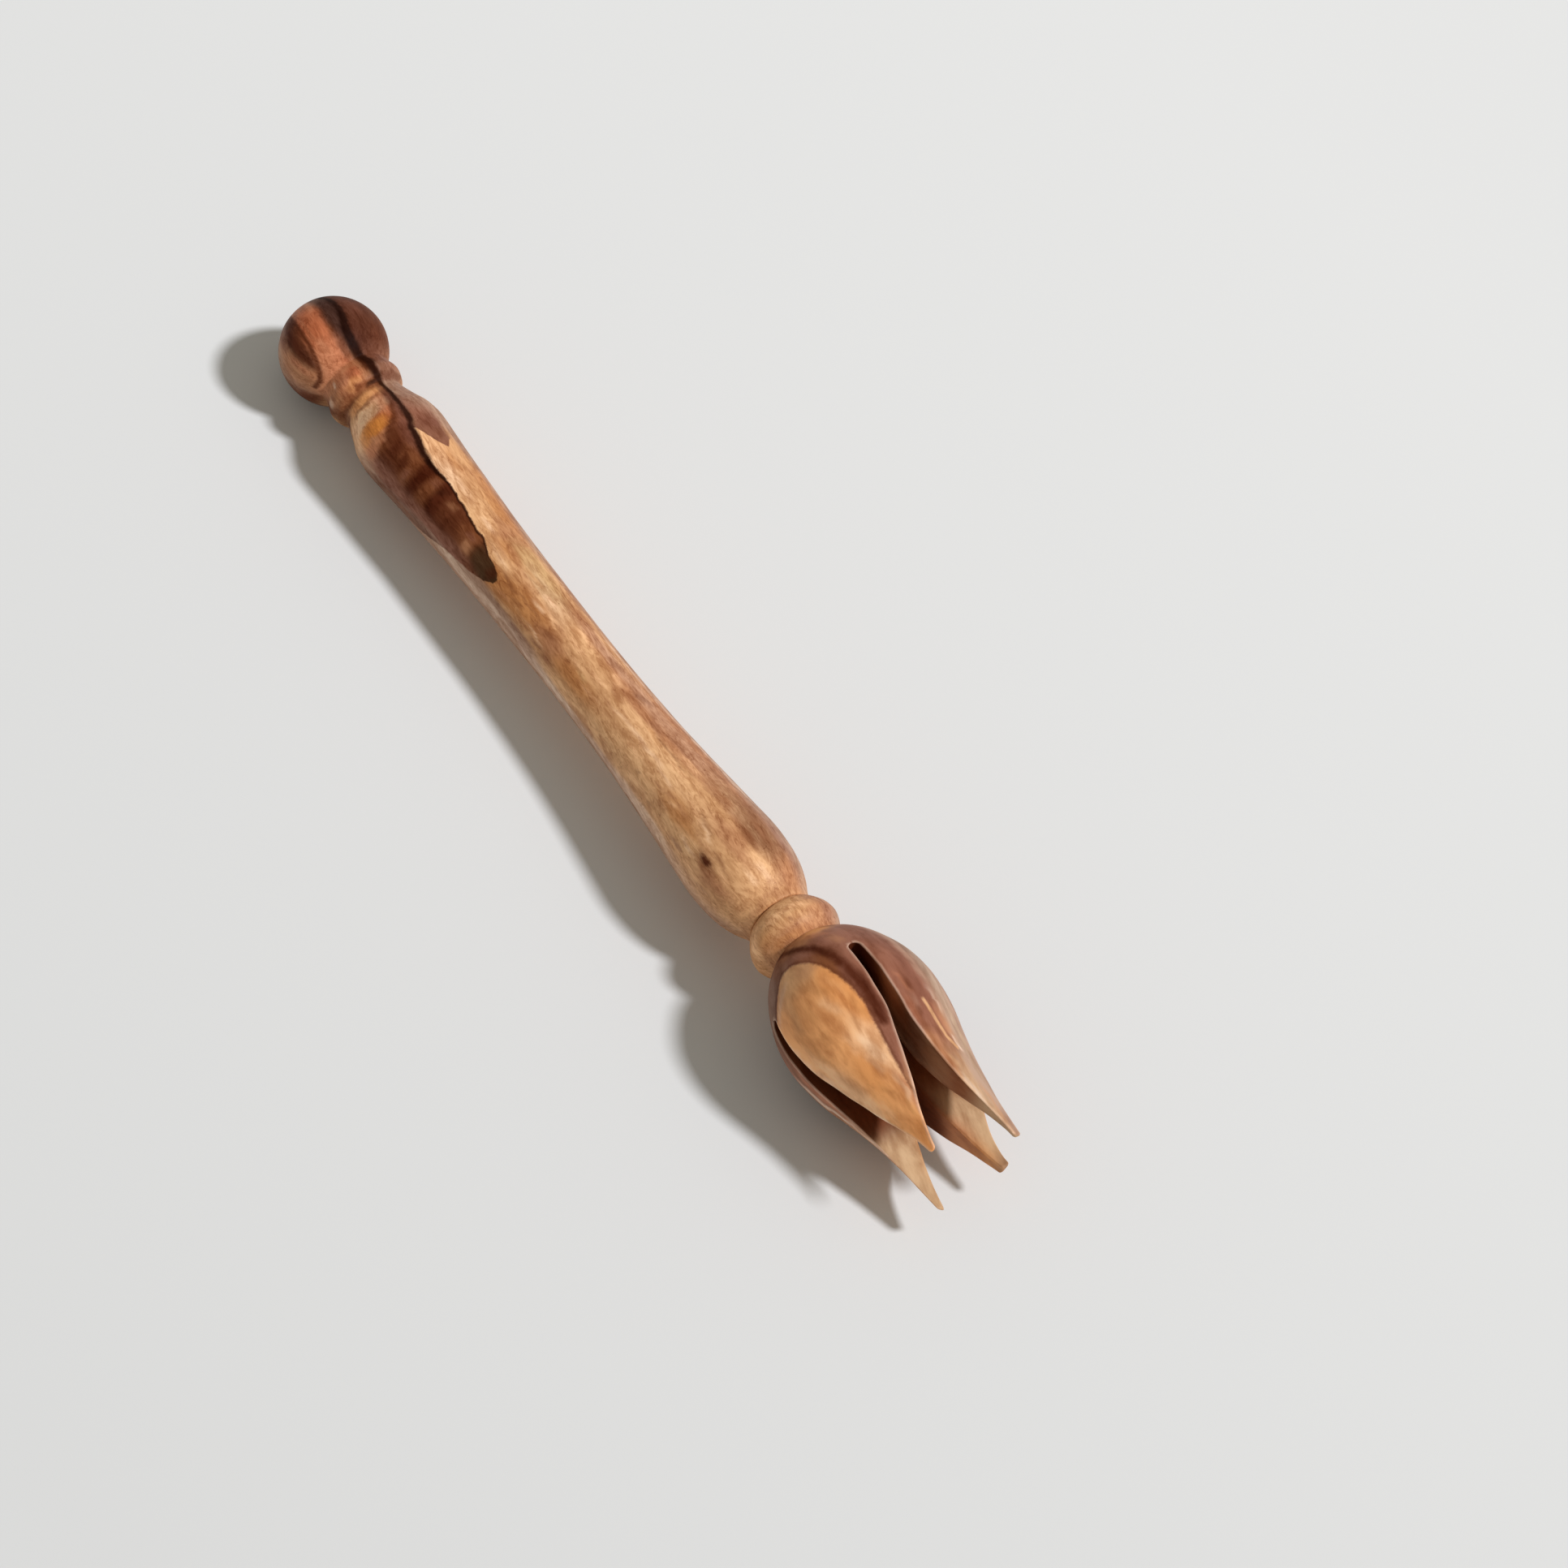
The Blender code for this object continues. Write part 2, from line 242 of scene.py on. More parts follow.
def make_handle():
    turn = np.linspace(0, math.acos(1 - BALL_CUT_X / BALL_RADIUS), 54)
    profile = [(BALL_RADIUS * (1 - math.cos(a)), BALL_RADIUS * math.sin(a)) for a in turn]
    rows = np.concatenate([np.linspace(BALL_CUT_X, 34.5, 61)[1:], np.linspace(34.5, 165, 175)[1:],
                           np.linspace(165, SHAFT_END_X - 0.2, 26)[1:]])
    profile += zip(rows, SHAFT(rows))
    edge = float(SHAFT(SHAFT_END_X))
    profile += [(SHAFT_END_X - 0.06, edge - 0.05), (SHAFT_END_X, edge - 0.2), (SHAFT_END_X, 6.2),
                (SHAFT_END_X, TENON_RADIUS + 0.15), (SHAFT_END_X + 0.15, TENON_RADIUS)]
    profile += [(x, TENON_RADIUS) for x in np.linspace(SHAFT_END_X + 1, TENON_END_X - 0.5, 14)]
    profile += [(TENON_END_X - 0.25, TENON_RADIUS - 0.2), (TENON_END_X, TENON_RADIUS - 0.5),
                (TENON_END_X, 2.2), (TENON_END_X, 0.0)]
    points, faces = revolve(profile, False)
    points = worn(points, 2, SHAFT_END_X - 1, 0.10, 3.0)
    off = BALL_OFFSET * (1 - step(17, 27, points[:, 0]))
    points[:, 1] += off * math.sin(math.radians(BALL_OFFSET_ANGLE))
    points[:, 2] += off * math.cos(math.radians(BALL_OFFSET_ANGLE))
    return mesh_piece("handle_wood", points, faces)


# ---------------------------------------------------------------- collar ring
def make_ring():
    rows = np.linspace(RING_START_X, RING_END_X, 44)
    radii = RING(rows)
    radii[0] -= 0.12
    profile = list(zip(rows, radii))
    profile += [(RING_END_X, 6.5), (RING_END_X, BORE_RADIUS + 0.2), (RING_END_X - 0.2, BORE_RADIUS)]
    profile += [(x, BORE_RADIUS) for x in np.linspace(RING_END_X - 1, RING_START_X + 1, 8)]
    profile += [(RING_START_X + 0.2, BORE_RADIUS), (RING_START_X, BORE_RADIUS + 0.2), (RING_START_X, 6.2)]
    points, faces = revolve(profile, True)
    points = worn(points, RING_START_X - 1.5, RING_END_X + 1, 0.07, 9.0)
    return mesh_piece("collar_ring_wood", points, faces)


# ---------------------------------------------------------------- tulip head
CROWN, CORNER, WALLS = 30, 4, 14           # points across a petal, round an edge, down a wall
ACROSS = CROWN + 2 * CORNER                # points from one side of a petal to the other
SPAN_ROWS, TIP_ROWS = 84, 9                # rows along a petal, round its tip
EDGE, TIP = 0.32, 0.7                      # softness of an edge, length of a tip's rounding, mm


def slot_side(slot, side, petal, x):
    """Angle in radians of one side of a slot at places x along the axis."""
    nominal, wander, fade = SLOTS[slot]
    tip_x, tip_width, low_side, high_side = PETALS[petal][1:]
    fullness = low_side if side > 0 else high_side
    way = np.clip((x - SLOT_ROOT_X) / (tip_x - SLOT_ROOT_X), 0, 1)
    depth = x - SLOT_ROOT_X
    half_root = SLOT_ROOT_WIDTH / 2
    width = (FRONT_GAP if slot == FRONT_SLOT else GAP)(way)
    full = width / 2 * (1 + (fullness - 1) * np.minimum(1.0, 2 * way))
    rounded = np.sqrt(np.maximum(half_root**2 - (half_root - np.clip(depth, 0, half_root))**2, 0))
    half = np.where(depth < half_root, rounded, full)
    r = HEAD(x)
    hand = np.array([noise.noise(Vector((v * 0.16, slot % 4 * 7.3, side * 3.1))) for v in np.atleast_1d(x)])
    half = half + 0.16 * hand * step(1.5, 9, depth) * (1 - step(0.9, 1, way))
    angle = np.arcsin(half / r)
    angle = angle + (math.pi / 4 - tip_width / 2 / r - angle) * way**8
    centre = math.radians(wander) * (1 - way)**fade
    return math.radians(nominal) + centre + side * angle


def petal_sides(petal, x):
    at = np.array([x])
    return float(slot_side(petal, 1, petal, at)[0]), float(slot_side(petal + 1, -1, petal, at)[0])


def outer_shape(x, petal):
    """Angles and radii across a petal's outside, from its low edge over the crown to its high edge."""
    low, high = petal_sides(petal, x)
    r = float(HEAD(x))
    d = EDGE / r
    softness = float(step(SLOT_ROOT_X - 0.6, SLOT_ROOT_X + 0.3, x))
    t = np.linspace(math.pi / 2, 0, CORNER + 1)[:-1]
    turn, drop = d * np.sin(t), softness * EDGE * (1 - np.cos(t))
    angles = np.concatenate([low + d - turn, np.linspace(low + d, high - d, CROWN), (high - d + turn)[::-1]])
    return angles, r - np.concatenate([drop, np.zeros(CROWN), drop[::-1]])


def inner_shape(x, petal):
    """The same across its inside: the cuts run straight in, and meet in a ridge or at the hollow."""
    low, high = petal_sides(petal, x)
    out = float(HEAD(x))
    near, far = petal * math.pi / 2, (petal + 1) * math.pi / 2
    side_a, side_b = out * math.sin(low - near), out * math.sin(far - high)
    ridge = math.hypot(max(side_a, 0), max(side_b, 0))
    r = max(float(HOLLOW(x)), ridge + 0.25)
    return np.linspace(near + math.asin(side_a / r), far - math.asin(side_b / r), ACROSS), np.full(ACROSS, r)


def wall(a, b):
    """Points between the outside edge and the inside edge of a cut."""
    return [a + (b - a) * i / WALLS for i in range(1, WALLS)]


def make_head():
    points, faces = [], []

    def add(new):
        first = len(points)
        points.extend(np.asarray(new).tolist())
        return list(range(first, len(points)))

    def ring_row(x, shape, part=1.0, radius=None):
        """One full ring made of the four petals' columns, neighbours sharing their edge column."""
        row = []
        for petal in range(4):
            angles, radii = shape(x, petal)
            row += add(tube_points(x, angles, radii * part if radius is None else radius)[:-1])
        return row

    # base: socket, front face and outside up to the slot roots
    outside = [add([(SOCKET_END_X, 0, 0)]) * (4 * (ACROSS - 1))]
    for x, r in ((SOCKET_END_X, 2.4), (SOCKET_END_X, BORE_RADIUS), (191.0, BORE_RADIUS),
                 (HEAD_START_X + 0.2, BORE_RADIUS), (HEAD_START_X, BORE_RADIUS + 0.2), (HEAD_START_X, 6.5)):
        outside.append(ring_row(x, outer_shape, radius=r))
    for x in (HEAD_START_X, 188.3, 188.6, 189.0, 189.5, *np.linspace(190.1, 198.0, 16),
              198.4, 198.7, 198.95, 199.15, 199.3, SLOT_ROOT_X):
        outside.append(ring_row(x, outer_shape))
    # hollow: floor and the wall up to the slot roots
    inside = [add([(FLOOR_X, 0, 0)]) * (4 * (ACROSS - 1))]
    for x, part in ((FLOOR_X, 0.5), (FLOOR_X, 0.9), (FLOOR_X + 0.15, 1.0), (198.2, 1.0), (SLOT_ROOT_X, 1.0)):
        inside.append(ring_row(x, inner_shape, part))
    for rows in (outside, inside):
        for a, b in zip(rows, rows[1:]):
            faces += strip(a, b)

    root = SLOT_ROOT_X + SLOT_ROOT_WIDTH / 2 * (1 - np.cos(np.linspace(0, math.pi / 2, 9)))
    root_walls = {}
    for petal in range(4):
        start = petal * (ACROSS - 1)
        outer, inner = ([row[(start + j) % len(row)] for j in range(ACROSS)]
                        for row in (outside[-1], inside[-1]))
        for end, slot in ((-1, (petal + 1) % 4), (0, petal)):
            if slot not in root_walls:
                root_walls[slot] = add(wall(np.array(points[outer[end]]), np.array(points[inner[end]])))
        loop = outer + root_walls[(petal + 1) % 4] + inner[::-1] + root_walls[petal][::-1]
        tip_x = PETALS[petal][1]
        tip = TIP * np.sin(np.linspace(0, math.pi / 2, TIP_ROWS)[1:] * 0.97)
        for x in (*root[1:], *np.linspace(root[-1], tip_x - TIP, SPAN_ROWS)[1:], *(tip_x - TIP + tip)):
            o, i = (tube_points(x, *shape(x, petal)) for shape in (outer_shape, inner_shape))
            ring = np.concatenate([o, wall(o[-1], i[-1]), i[::-1], wall(o[0], i[0])[::-1]])
            # the tip rounds off towards its own middle
            way = max(0.0, (x - (tip_x - TIP)) / TIP)
            centre = ring.mean(0)
            ring[:, 1:] = centre[1:] + (ring[:, 1:] - centre[1:]) * (1 - way * way)**0.35
            row = add(ring)
            faces += strip(loop, row)
            loop = row
        faces.append(loop)
    return mesh_piece("tulip_head_wood", worn(points, HEAD_START_X, 262, 0.14, 21.0), faces)


# ---------------------------------------------------------------- painting the wood
# Linear colours of the timber, from pale sapwood to near-black heartwood.
WOOD = {
    "cream": (0.9, 0.55, 0.32), "light": (0.8, 0.44, 0.21), "tan": (0.65, 0.335, 0.15),
    "gold": (0.54, 0.222, 0.072), "olive": (0.6, 0.345, 0.15), "amber": (0.72, 0.25, 0.045),
    "orange": (0.5, 0.14, 0.055), "salmon": (0.58, 0.22, 0.105), "rust": (0.47, 0.2, 0.088),
    "peach": (0.92, 0.51, 0.26), "apricot": (0.82, 0.365, 0.135), "bone": (0.86, 0.62, 0.46),
    "pink": (0.42, 0.24, 0.155), "rose": (0.28, 0.105, 0.06), "mauve": (0.19, 0.064, 0.036),
    "purple": (0.095, 0.028, 0.014), "brown": (0.225, 0.07, 0.024), "umber": (0.128, 0.033, 0.012),
    "heart": (0.085, 0.017, 0.006), "black": (0.016, 0.004, 0.002), "grey": (0.22, 0.105, 0.065),
    "walnut": (0.15, 0.072, 0.042), "plum": (0.07, 0.03, 0.021), "oat": (0.52, 0.325, 0.175),
    "clay": (0.31, 0.175, 0.1), "grey_tan": (0.36, 0.25, 0.165), "honey": (0.72, 0.285, 0.088),
    "bark": (0.08, 0.038, 0.016),
}


def wrap(degrees):
    return (np.asarray(degrees, float) + 180) % 360 - 180


def tones(x, phi, patches, strokes=()):
    """Blend soft patches of each wood, then lay strokes of it over them.

    A patch is (x, angle, reach in x, reach in degrees), listed under its wood. A stroke has the wood
    after these four, then how strong it is and how many degrees it climbs per mm.
    """
    total, weight = np.zeros((len(x), 3)), np.full(len(x), 1e-9)
    for wood, places in patches.items():
        for px, pphi, rx, rphi in places:
            w = np.exp(-((x - px) / rx)**2 - (wrap(phi - pphi) / rphi)**2)
            total += w[:, None] * np.array(WOOD[wood])
            weight += w
    colour = total / weight[:, None]
    turn = np.radians(phi)
    where = np.stack([x, 9 * np.sin(turn), 9 * np.cos(turn)], -1)
    sway, drift = rough(where, (5, 2.6, 2.6), 31.0), rough(where, (4, 2.2, 2.2), 47.0)

    def lay(px, pphi, rx, rphi, wood, strength=0.5, climb=0.0):
        dx, dphi = x - px + 0.9 * sway, wrap(phi - pphi - climb * (x - px)) + 3.2 * drift
        cover = strength * np.exp(-(dx / rx)**4 - (dphi / rphi)**4)
        colour[:] += cover[:, None] * (np.array(WOOD[wood]) - colour)

    for stroke in strokes:
        lay(*stroke)
    return colour


def distance(x, phi, outline, mm_per_degree, closed=True):
    """Distance in mm from a drawn line; negative inside it if it is closed."""
    px, py = x, wrap(phi) * mm_per_degree
    pts = [(a, b * mm_per_degree) for a, b in outline]
    near, inside = np.full(len(x), 1e9), np.zeros(len(x), bool)
    for (ax, ay), (bx, by) in zip(pts, pts[1:] + (pts[:1] if closed else [])):
        dx, dy = bx - ax, by - ay
        t = np.clip(((px - ax) * dx + (py - ay) * dy) / (dx * dx + dy * dy), 0, 1)
        near = np.minimum(near, np.hypot(px - ax - t * dx, py - ay - t * dy))
        if closed and ay != by:
            inside ^= ((ay > py) != (by > py)) & (px < (bx - ax) * (py - ay) / (by - ay) + ax)
    return np.where(inside, -near, near)


def store(piece, name, values):
    values = np.asarray(values, np.float32)
    kind, field = ("FLOAT", "value") if values.ndim == 1 else ("FLOAT_VECTOR", "vector")
    piece.data.attributes.new(name, kind, "POINT").data.foreach_set(field, values.ravel())


def spindle_coords(piece):
    """Place in mm, x in mm, angle in degrees and radius in mm of each vertex."""
    p = np.zeros(len(piece.data.vertices) * 3, np.float32)
    piece.data.attributes["grain"].data.foreach_get("vector", p)
    p = p.reshape(-1, 3).astype(float)
    return p, p[:, 0], np.degrees(np.arctan2(p[:, 1], p[:, 2])), np.hypot(p[:, 1], p[:, 2])


FAR = 9.0       # "nowhere near" for a stored distance in mm

# sapwood and everything above the dark line; paler on the side towards the camera (about -10 to -60 degrees)
# and redder and darker towards +10 to +40 degrees, partly the wood and partly painted light and shade
HANDLE_TONES = {
    "purple": ((8, 40, 9, 26), (17, 40, 3, 30)),
    "brown": ((12, 90, 9, 30), (164, 24, 7, 12)),
    "rust": ((10, 140, 9, 30), (22, 100, 3, 40), (32, 170, 6, 40), (73, 18, 4, 14), (60, -150, 30, 30),
        (99, -36, 4, 18), (100, 26, 6, 9), (110, 20, 8, 7), (120, 14, 5, 12), (127, 16, 7, 12),
        (137, 22, 9, 11), (152, 22, 9, 12), (161, -10, 6, 7), (167, -58, 4, 8), (174, 34, 4, 16),
        (130, 44, 16, 9), (150, 110, 25, 30)),
    "umber": ((10, -170, 9, 30), (22, 170, 3, 40)),
    "rose": ((22, 45, 3, 30), (37, 15, 4, 8)),
    "pink": ((29, 45, 4, 25), (34, 30, 5, 14), (34, 60, 6, 14), (45, 62, 7, 12), (75, 58, 14, 12),
        (60, -105, 22, 12), (87, -72, 9, 10), (120, 62, 45, 12), (160, 55, 14, 12), (100, -95, 30, 14),
        (145, -102, 25, 14)),
    "tan": ((31, 100, 6, 30), (45, 110, 10, 25), (52, 30, 5, 12), (60, 20, 6, 12), (94, -56, 6, 7),
        (98, -8, 4, 8), (97, 10, 4, 8), (110, 3, 6, 7), (107, -16, 6, 10), (117, -14, 5, 9),
        (122, -32, 6, 7), (128, -76, 12, 9), (152, -2, 6, 6), (159, -28, 6, 6), (168, -34, 4, 12),
        (175, -25, 3, 30), (172, -72, 5, 12), (160, -84, 12, 10), (100, 45, 16, 10), (100, 110, 30, 30),
        (140, 160, 25, 30), (105, -145, 25, 25), (185, 0, 8, 300)),
    "light": ((48, 6, 5, 9), (68, 2, 5, 7), (64, -8, 5, 6), (78, -14, 6, 8), (104, 8, 5, 6),
        (112, -68, 9, 10), (126, -10, 7, 8), (126, -50, 10, 14), (138, -14, 9, 10), (138, -34, 8, 7),
        (138, -54, 9, 11), (150, -14, 6, 8), (150, -62, 8, 9), (156, -56, 5, 7), (171, -5, 3.5, 16)),
    "cream": ((55, 0, 6, 9),),
    "gold": ((62, 40, 9, 12), (76, 0, 5, 8), (60, 150, 30, 45), (86, -40, 7, 14), (86, -12, 5, 9),
        (92, -20, 6, 9), (110, -44, 7, 12), (148, -36, 5, 9), (95, 160, 25, 30), (155, -145, 25, 25)),
    "olive": ((80, 20, 6, 10), (88, 15, 7, 14)),
    # the bone bands at about -87 degrees lie near the shaft's outline: partly the wood's tone, partly
    # painted rim highlight
    "bone": ((100, -88, 40, 7), (144, -86, 14, 8)),
}
HANDLE_STROKES = (
    # the umber stroke at 25.6 mm lies in the groove between bead and neck: partly the wood's tone, partly
    # painted shade in the groove
    (16, 55, 2.5, 20, "umber"), (8, 30, 4, 8, "mauve", 0.5, -0.5), (25.6, 40, 0.9, 40, "umber", 0.7),
    (23.3, 30, 0.9, 14, "pink", 0.3), (40, 24, 3, 16, "rose", 0.7), (22.5, 38, 3, 14, "mauve", 0.3),
    (33, 32, 6, 15, "rose", 0.35), (50, 12, 8, 14, "salmon", 0.18), (90, 5, 9, 18, "bone", 0.15),
    (112, 26, 12, 11, "bone", 0.17), (134, 24, 14, 11, "bone", 0.17), (158, 22, 12, 14, "oat", 0.4),
    (157, -12, 10, 10, "light", 0.2), (46.5, 1, 4, 5, "peach", 0.5, -0.6), (55, 2, 3, 6, "cream", 0.8, -0.5),
    (52, 17, 3, 5, "gold", 0.5, 0.8), (58, 12, 3.5, 4, "tan", 0.5, 0.6), (60, -3, 3.5, 4, "tan", 0.5, -0.8),
    (65, 12, 3, 5, "light", 0.5, 0.6), (69.5, 0.5, 2.6, 4.2, "cream", 0.85, -0.2),
    (66, 26, 4, 4, "gold", 0.5, 0.4), (73, 16, 1.1, 14, "rust", 0.6), (76, 28, 1.2, 9, "rust", 0.45),
    (75.5, -6, 3, 3.5, "rust", 0.5, -0.8), (78, 3, 3, 4, "rust", 0.5, -0.5),
    (77, -17, 3.5, 3.5, "cream", 0.5, -1), (58, 34, 5, 4, "rust", 0.4, 0.3), (66, 44, 8, 4, "rust", 0.4),
    (84, -3, 3.5, 2.5, "rust", 0.45, -0.7), (85, 6, 3, 3, "gold", 0.4, 0.3),
    (92.5, 4, 2.4, 4.5, "cream", 0.9, 0.4), (88, -6, 3.5, 2.6, "light", 0.5, -0.2),
    (86, 20, 4, 5, "olive", 0.5, 0.2), (83, -27, 3, 2.4, "brown", 0.55, -0.7),
    (90, -26, 4, 1.8, "brown", 0.55, -0.3), (91.5, -15.5, 2.2, 2.6, "cream", 0.7, -0.4),
    (87.5, -38, 2.4, 3, "brown", 0.5, 0.5), (84, -47, 2.5, 3, "rust", 0.5, 0.7),
    (90, -45, 3, 2.2, "tan", 0.5, -0.6), (85, -58, 3, 2.6, "light", 0.7, 0.5),
    (92, -52, 3, 2.2, "rust", 0.6, 0.4), (95.5, -47.5, 3, 1.7, "cream", 0.6, -0.9),
    (97, -58, 2.6, 2.4, "light", 0.7, 0.5), (93, -67, 4, 2.8, "rose", 0.5, -0.2),
    (96, -14, 2, 2, "peach", 0.7, -2.2), (97, -8, 2.2, 2, "peach", 0.5, 1.2),
    (99.5, -13, 1.8, 5, "rust", 0.5, -1.2), (100, -38, 2.2, 10, "rust", 0.8, 0.5),
    (98.5, -30, 2, 4, "brown", 0.45, 1), (101, -56, 1.8, 6, "rust", 0.75),
    (96.5, -54, 2, 2.6, "rose", 0.5, 0.5), (103, 11, 3, 3, "peach", 0.7, 0.4),
    (108, 8, 3.5, 1.6, "rust", 0.5, -0.6), (111, 15, 6, 2.2, "rust", 0.7, -0.1),
    (111.5, 25, 2.4, 4, "brown", 0.5, 0.8), (115.5, 8, 1.8, 5, "peach", 0.75, -0.8),
    (104, -8, 2.5, 5, "peach"), (110, -28, 2, 4, "olive", 0.55, -1), (107, -22, 2.4, 3, "peach", 0.45, 0.8),
    (113, -13, 3, 3, "peach", 0.5, 0.3), (110, -45, 3, 6, "gold", 0.5, 0.4),
    (115, -36, 4, 2.2, "peach", 0.5, 0.4), (120, -25, 2.6, 2.4, "rust", 0.6, -0.8),
    (118, -5, 2.4, 4, "rust", 0.5, -0.8), (125, 4, 3, 4, "rust", 0.5, 0.6),
    (125, -20, 4, 2.4, "cream", 0.5, 0.4), (122, 24, 2.2, 6, "mauve", 0.4, 1),
    (130, 8, 2.4, 5, "mauve", 0.35, -0.8), (132, -3, 3, 2, "gold", 0.5, -0.4),
    (133, -20, 6, 3, "cream", 0.7, 0.2), (131, -35, 3, 3, "peach"), (137, 0.6, 5, 1.3, "brown", 0.55, -0.2),
    (142, 10, 4, 3, "peach", 0.65, 0.5), (135, 15, 3, 2.2, "brown", 0.45, 0.6),
    (147, 4.5, 4, 1.3, "brown", 0.5, 0.4), (141, -25, 3, 2, "cream", 0.6, -0.5),
    (141, -6, 3.5, 2.4, "peach", 0.5, 0.2), (142, -38, 2.2, 2, "rust", 0.5, 0.4),
    (145, -32, 1.8, 2.6, "rust", 0.55, 1.2), (147.5, -37, 1.4, 2.4, "peach", 0.6),
    (149, -45, 3.4, 2.6, "gold", 0.6, -0.5), (150, -33, 2.2, 3, "rust", 0.55, -0.6),
    (144, -49, 2.5, 2.4, "rust", 0.4, 0.3), (135.6, -48, 0.9, 1.8, "brown", 0.6),
    (142, -63, 1, 1.8, "brown", 0.55), (136, -60, 5, 3.5, "peach"), (152, -22, 3, 2.4, "peach", 0.5, -0.8),
    (146, 34, 5, 2.6, "brown", 0.4, 0.2), (152, 14, 3.4, 3, "rust", 0.5, -0.3), (158, 28, 5, 7, "brown"),
    (164, 24, 4, 6, "brown", 0.6, 0.2), (164.5, 8, 4, 3, "brown", 0.55, -0.4),
    (159, -8, 4, 2.4, "rust", 0.5, -0.9), (157.5, -25, 3, 1.6, "cream", 0.6, -1.3),
    (156.5, -21, 3, 1.5, "brown", 0.5, -1.2), (160.5, -33, 3, 1.5, "peach", 0.6, -1.2),
    (158.5, -36, 3.2, 1.6, "rust", 0.6, -1.2), (165, -34, 3, 1.8, "brown", 0.5, -1.3),
    (167.5, -42, 2.4, 2.2, "peach", 0.5, -0.8), (157, -54, 2.8, 2.6, "cream", 0.85, -0.4),
    (162, -55, 2.4, 2.6, "rust", 0.6, -0.8), (166.5, -57, 2.4, 3.5, "rust", 0.7, -0.8),
    (153.5, -65, 2.5, 2.5, "rose", 0.5, 0.3), (161, -66, 3, 2.2, "peach", 0.45),
    (165, -74, 3, 2.4, "rose", 0.3, 0.4), (172, -2, 2.4, 6, "cream", 0.6, 0.6),
    (171.5, -17, 1.8, 4, "cream"), (168, -13, 1.8, 5, "rust", 0.45, 0.6),
    (172.5, -38, 2.2, 5, "light", 0.5, 0.5), (174, 28, 2.4, 9, "rust"), (176.6, -20, 0.7, 70, "rust"),
    # the bone strokes in these lines run near both outlines of the shaft: partly the wood's tone, partly
    # painted rim highlight
    (85, -78, 6, 4, "bone"), (93, -83, 7, 4, "rose", 0.4), (110, -84, 8, 4, "bone", 0.4, 0.3),
    (128, -86, 9, 4, "rose", 0.35), (140, -78, 9, 3, "bone", 0.45, 0.2), (90, 50, 9, 4, "rose", 0.4),
    (115, 47, 12, 3.5, "bone", 0.35), (100, 55, 14, 4, "rose", 0.4), (140, 52, 14, 4, "bone", 0.4),
    (60, 52, 10, 4, "rose", 0.35), (168, 47, 8, 6, "rose", 0.4),
)
# the dark-hearted side below that line
HEART_TONES = {
    "orange": ((6, -20, 6, 12), (12, -20, 6, 11), (22, -15, 2.5, 12), (34, -20, 2.4, 9)),
    "salmon": ((17, -24, 3, 14), (19.5, -60, 1.6, 26), (22, -38, 3, 14), (30, -12, 1.6, 8),
        (38, -60, 2, 14)),
    "purple": ((8, 5, 8, 8), (12, -49, 4, 5)),
    "black": ((15, 4, 5, 8),),
    "rust": ((3, -10, 2, 20), (12, -64, 5, 8), (14, -78, 4, 12), (22, -65, 3, 14)),
    "umber": ((7, -45, 4, 6), (15, -105, 4, 14), (10, -140, 9, 30), (23, 8, 3, 8), (22, -92, 2, 10),
        (28, -95, 3, 20), (41, -22, 2.2, 8), (42, -40, 1.6, 16), (45.5, -40, 2.2, 12), (61, -24, 2, 8),
        (61.5, -42, 1.8, 14), (65, -30, 2.6, 9), (65, -46, 2.4, 12)),
    "grey": ((5, -58, 4, 8), (60, -86, 9, 8), (50, -100, 9, 12)),
    "pink": ((8, -92, 6, 14), (38, -84, 3, 9)),
    "tan": ((22, -120, 3, 20),),
    # the brown patch at 26 mm lies in that groove: partly the wood's tone, partly painted shade in the
    # groove
    "brown": ((26, -30, 1.2, 60), (48.5, -40, 1.5, 18), (48, -20, 3, 6), (54.5, -30, 1.3, 12),
        (54.5, -48, 1.5, 12), (69.5, -46, 2.2, 10), (69, -27, 3, 6), (73, -64, 3, 6)),
    "apricot": ((28.2, -30, 1.2, 34),),
    "mauve": ((30, 6, 4, 7), (35, 0, 4, 6), (44, -12, 4, 6)),
    "peach": ((32, -45, 1.7, 22),),
    "amber": ((36, -44, 2, 14),),
    "light": ((33, -75, 4, 14), (31, -100, 3, 16)),
    "rose": ((44, -66, 3, 8), (47, -76, 5, 7), (56, -70, 6, 7), (64, -72, 6, 6), (69, -62, 4, 7)),
    "heart": ((51.5, -38, 1.7, 22), (51, -16, 2, 5), (57.6, -36, 1.5, 20), (74, -40, 2, 18)),
    "bark": ((78, -44, 3, 14),),
}
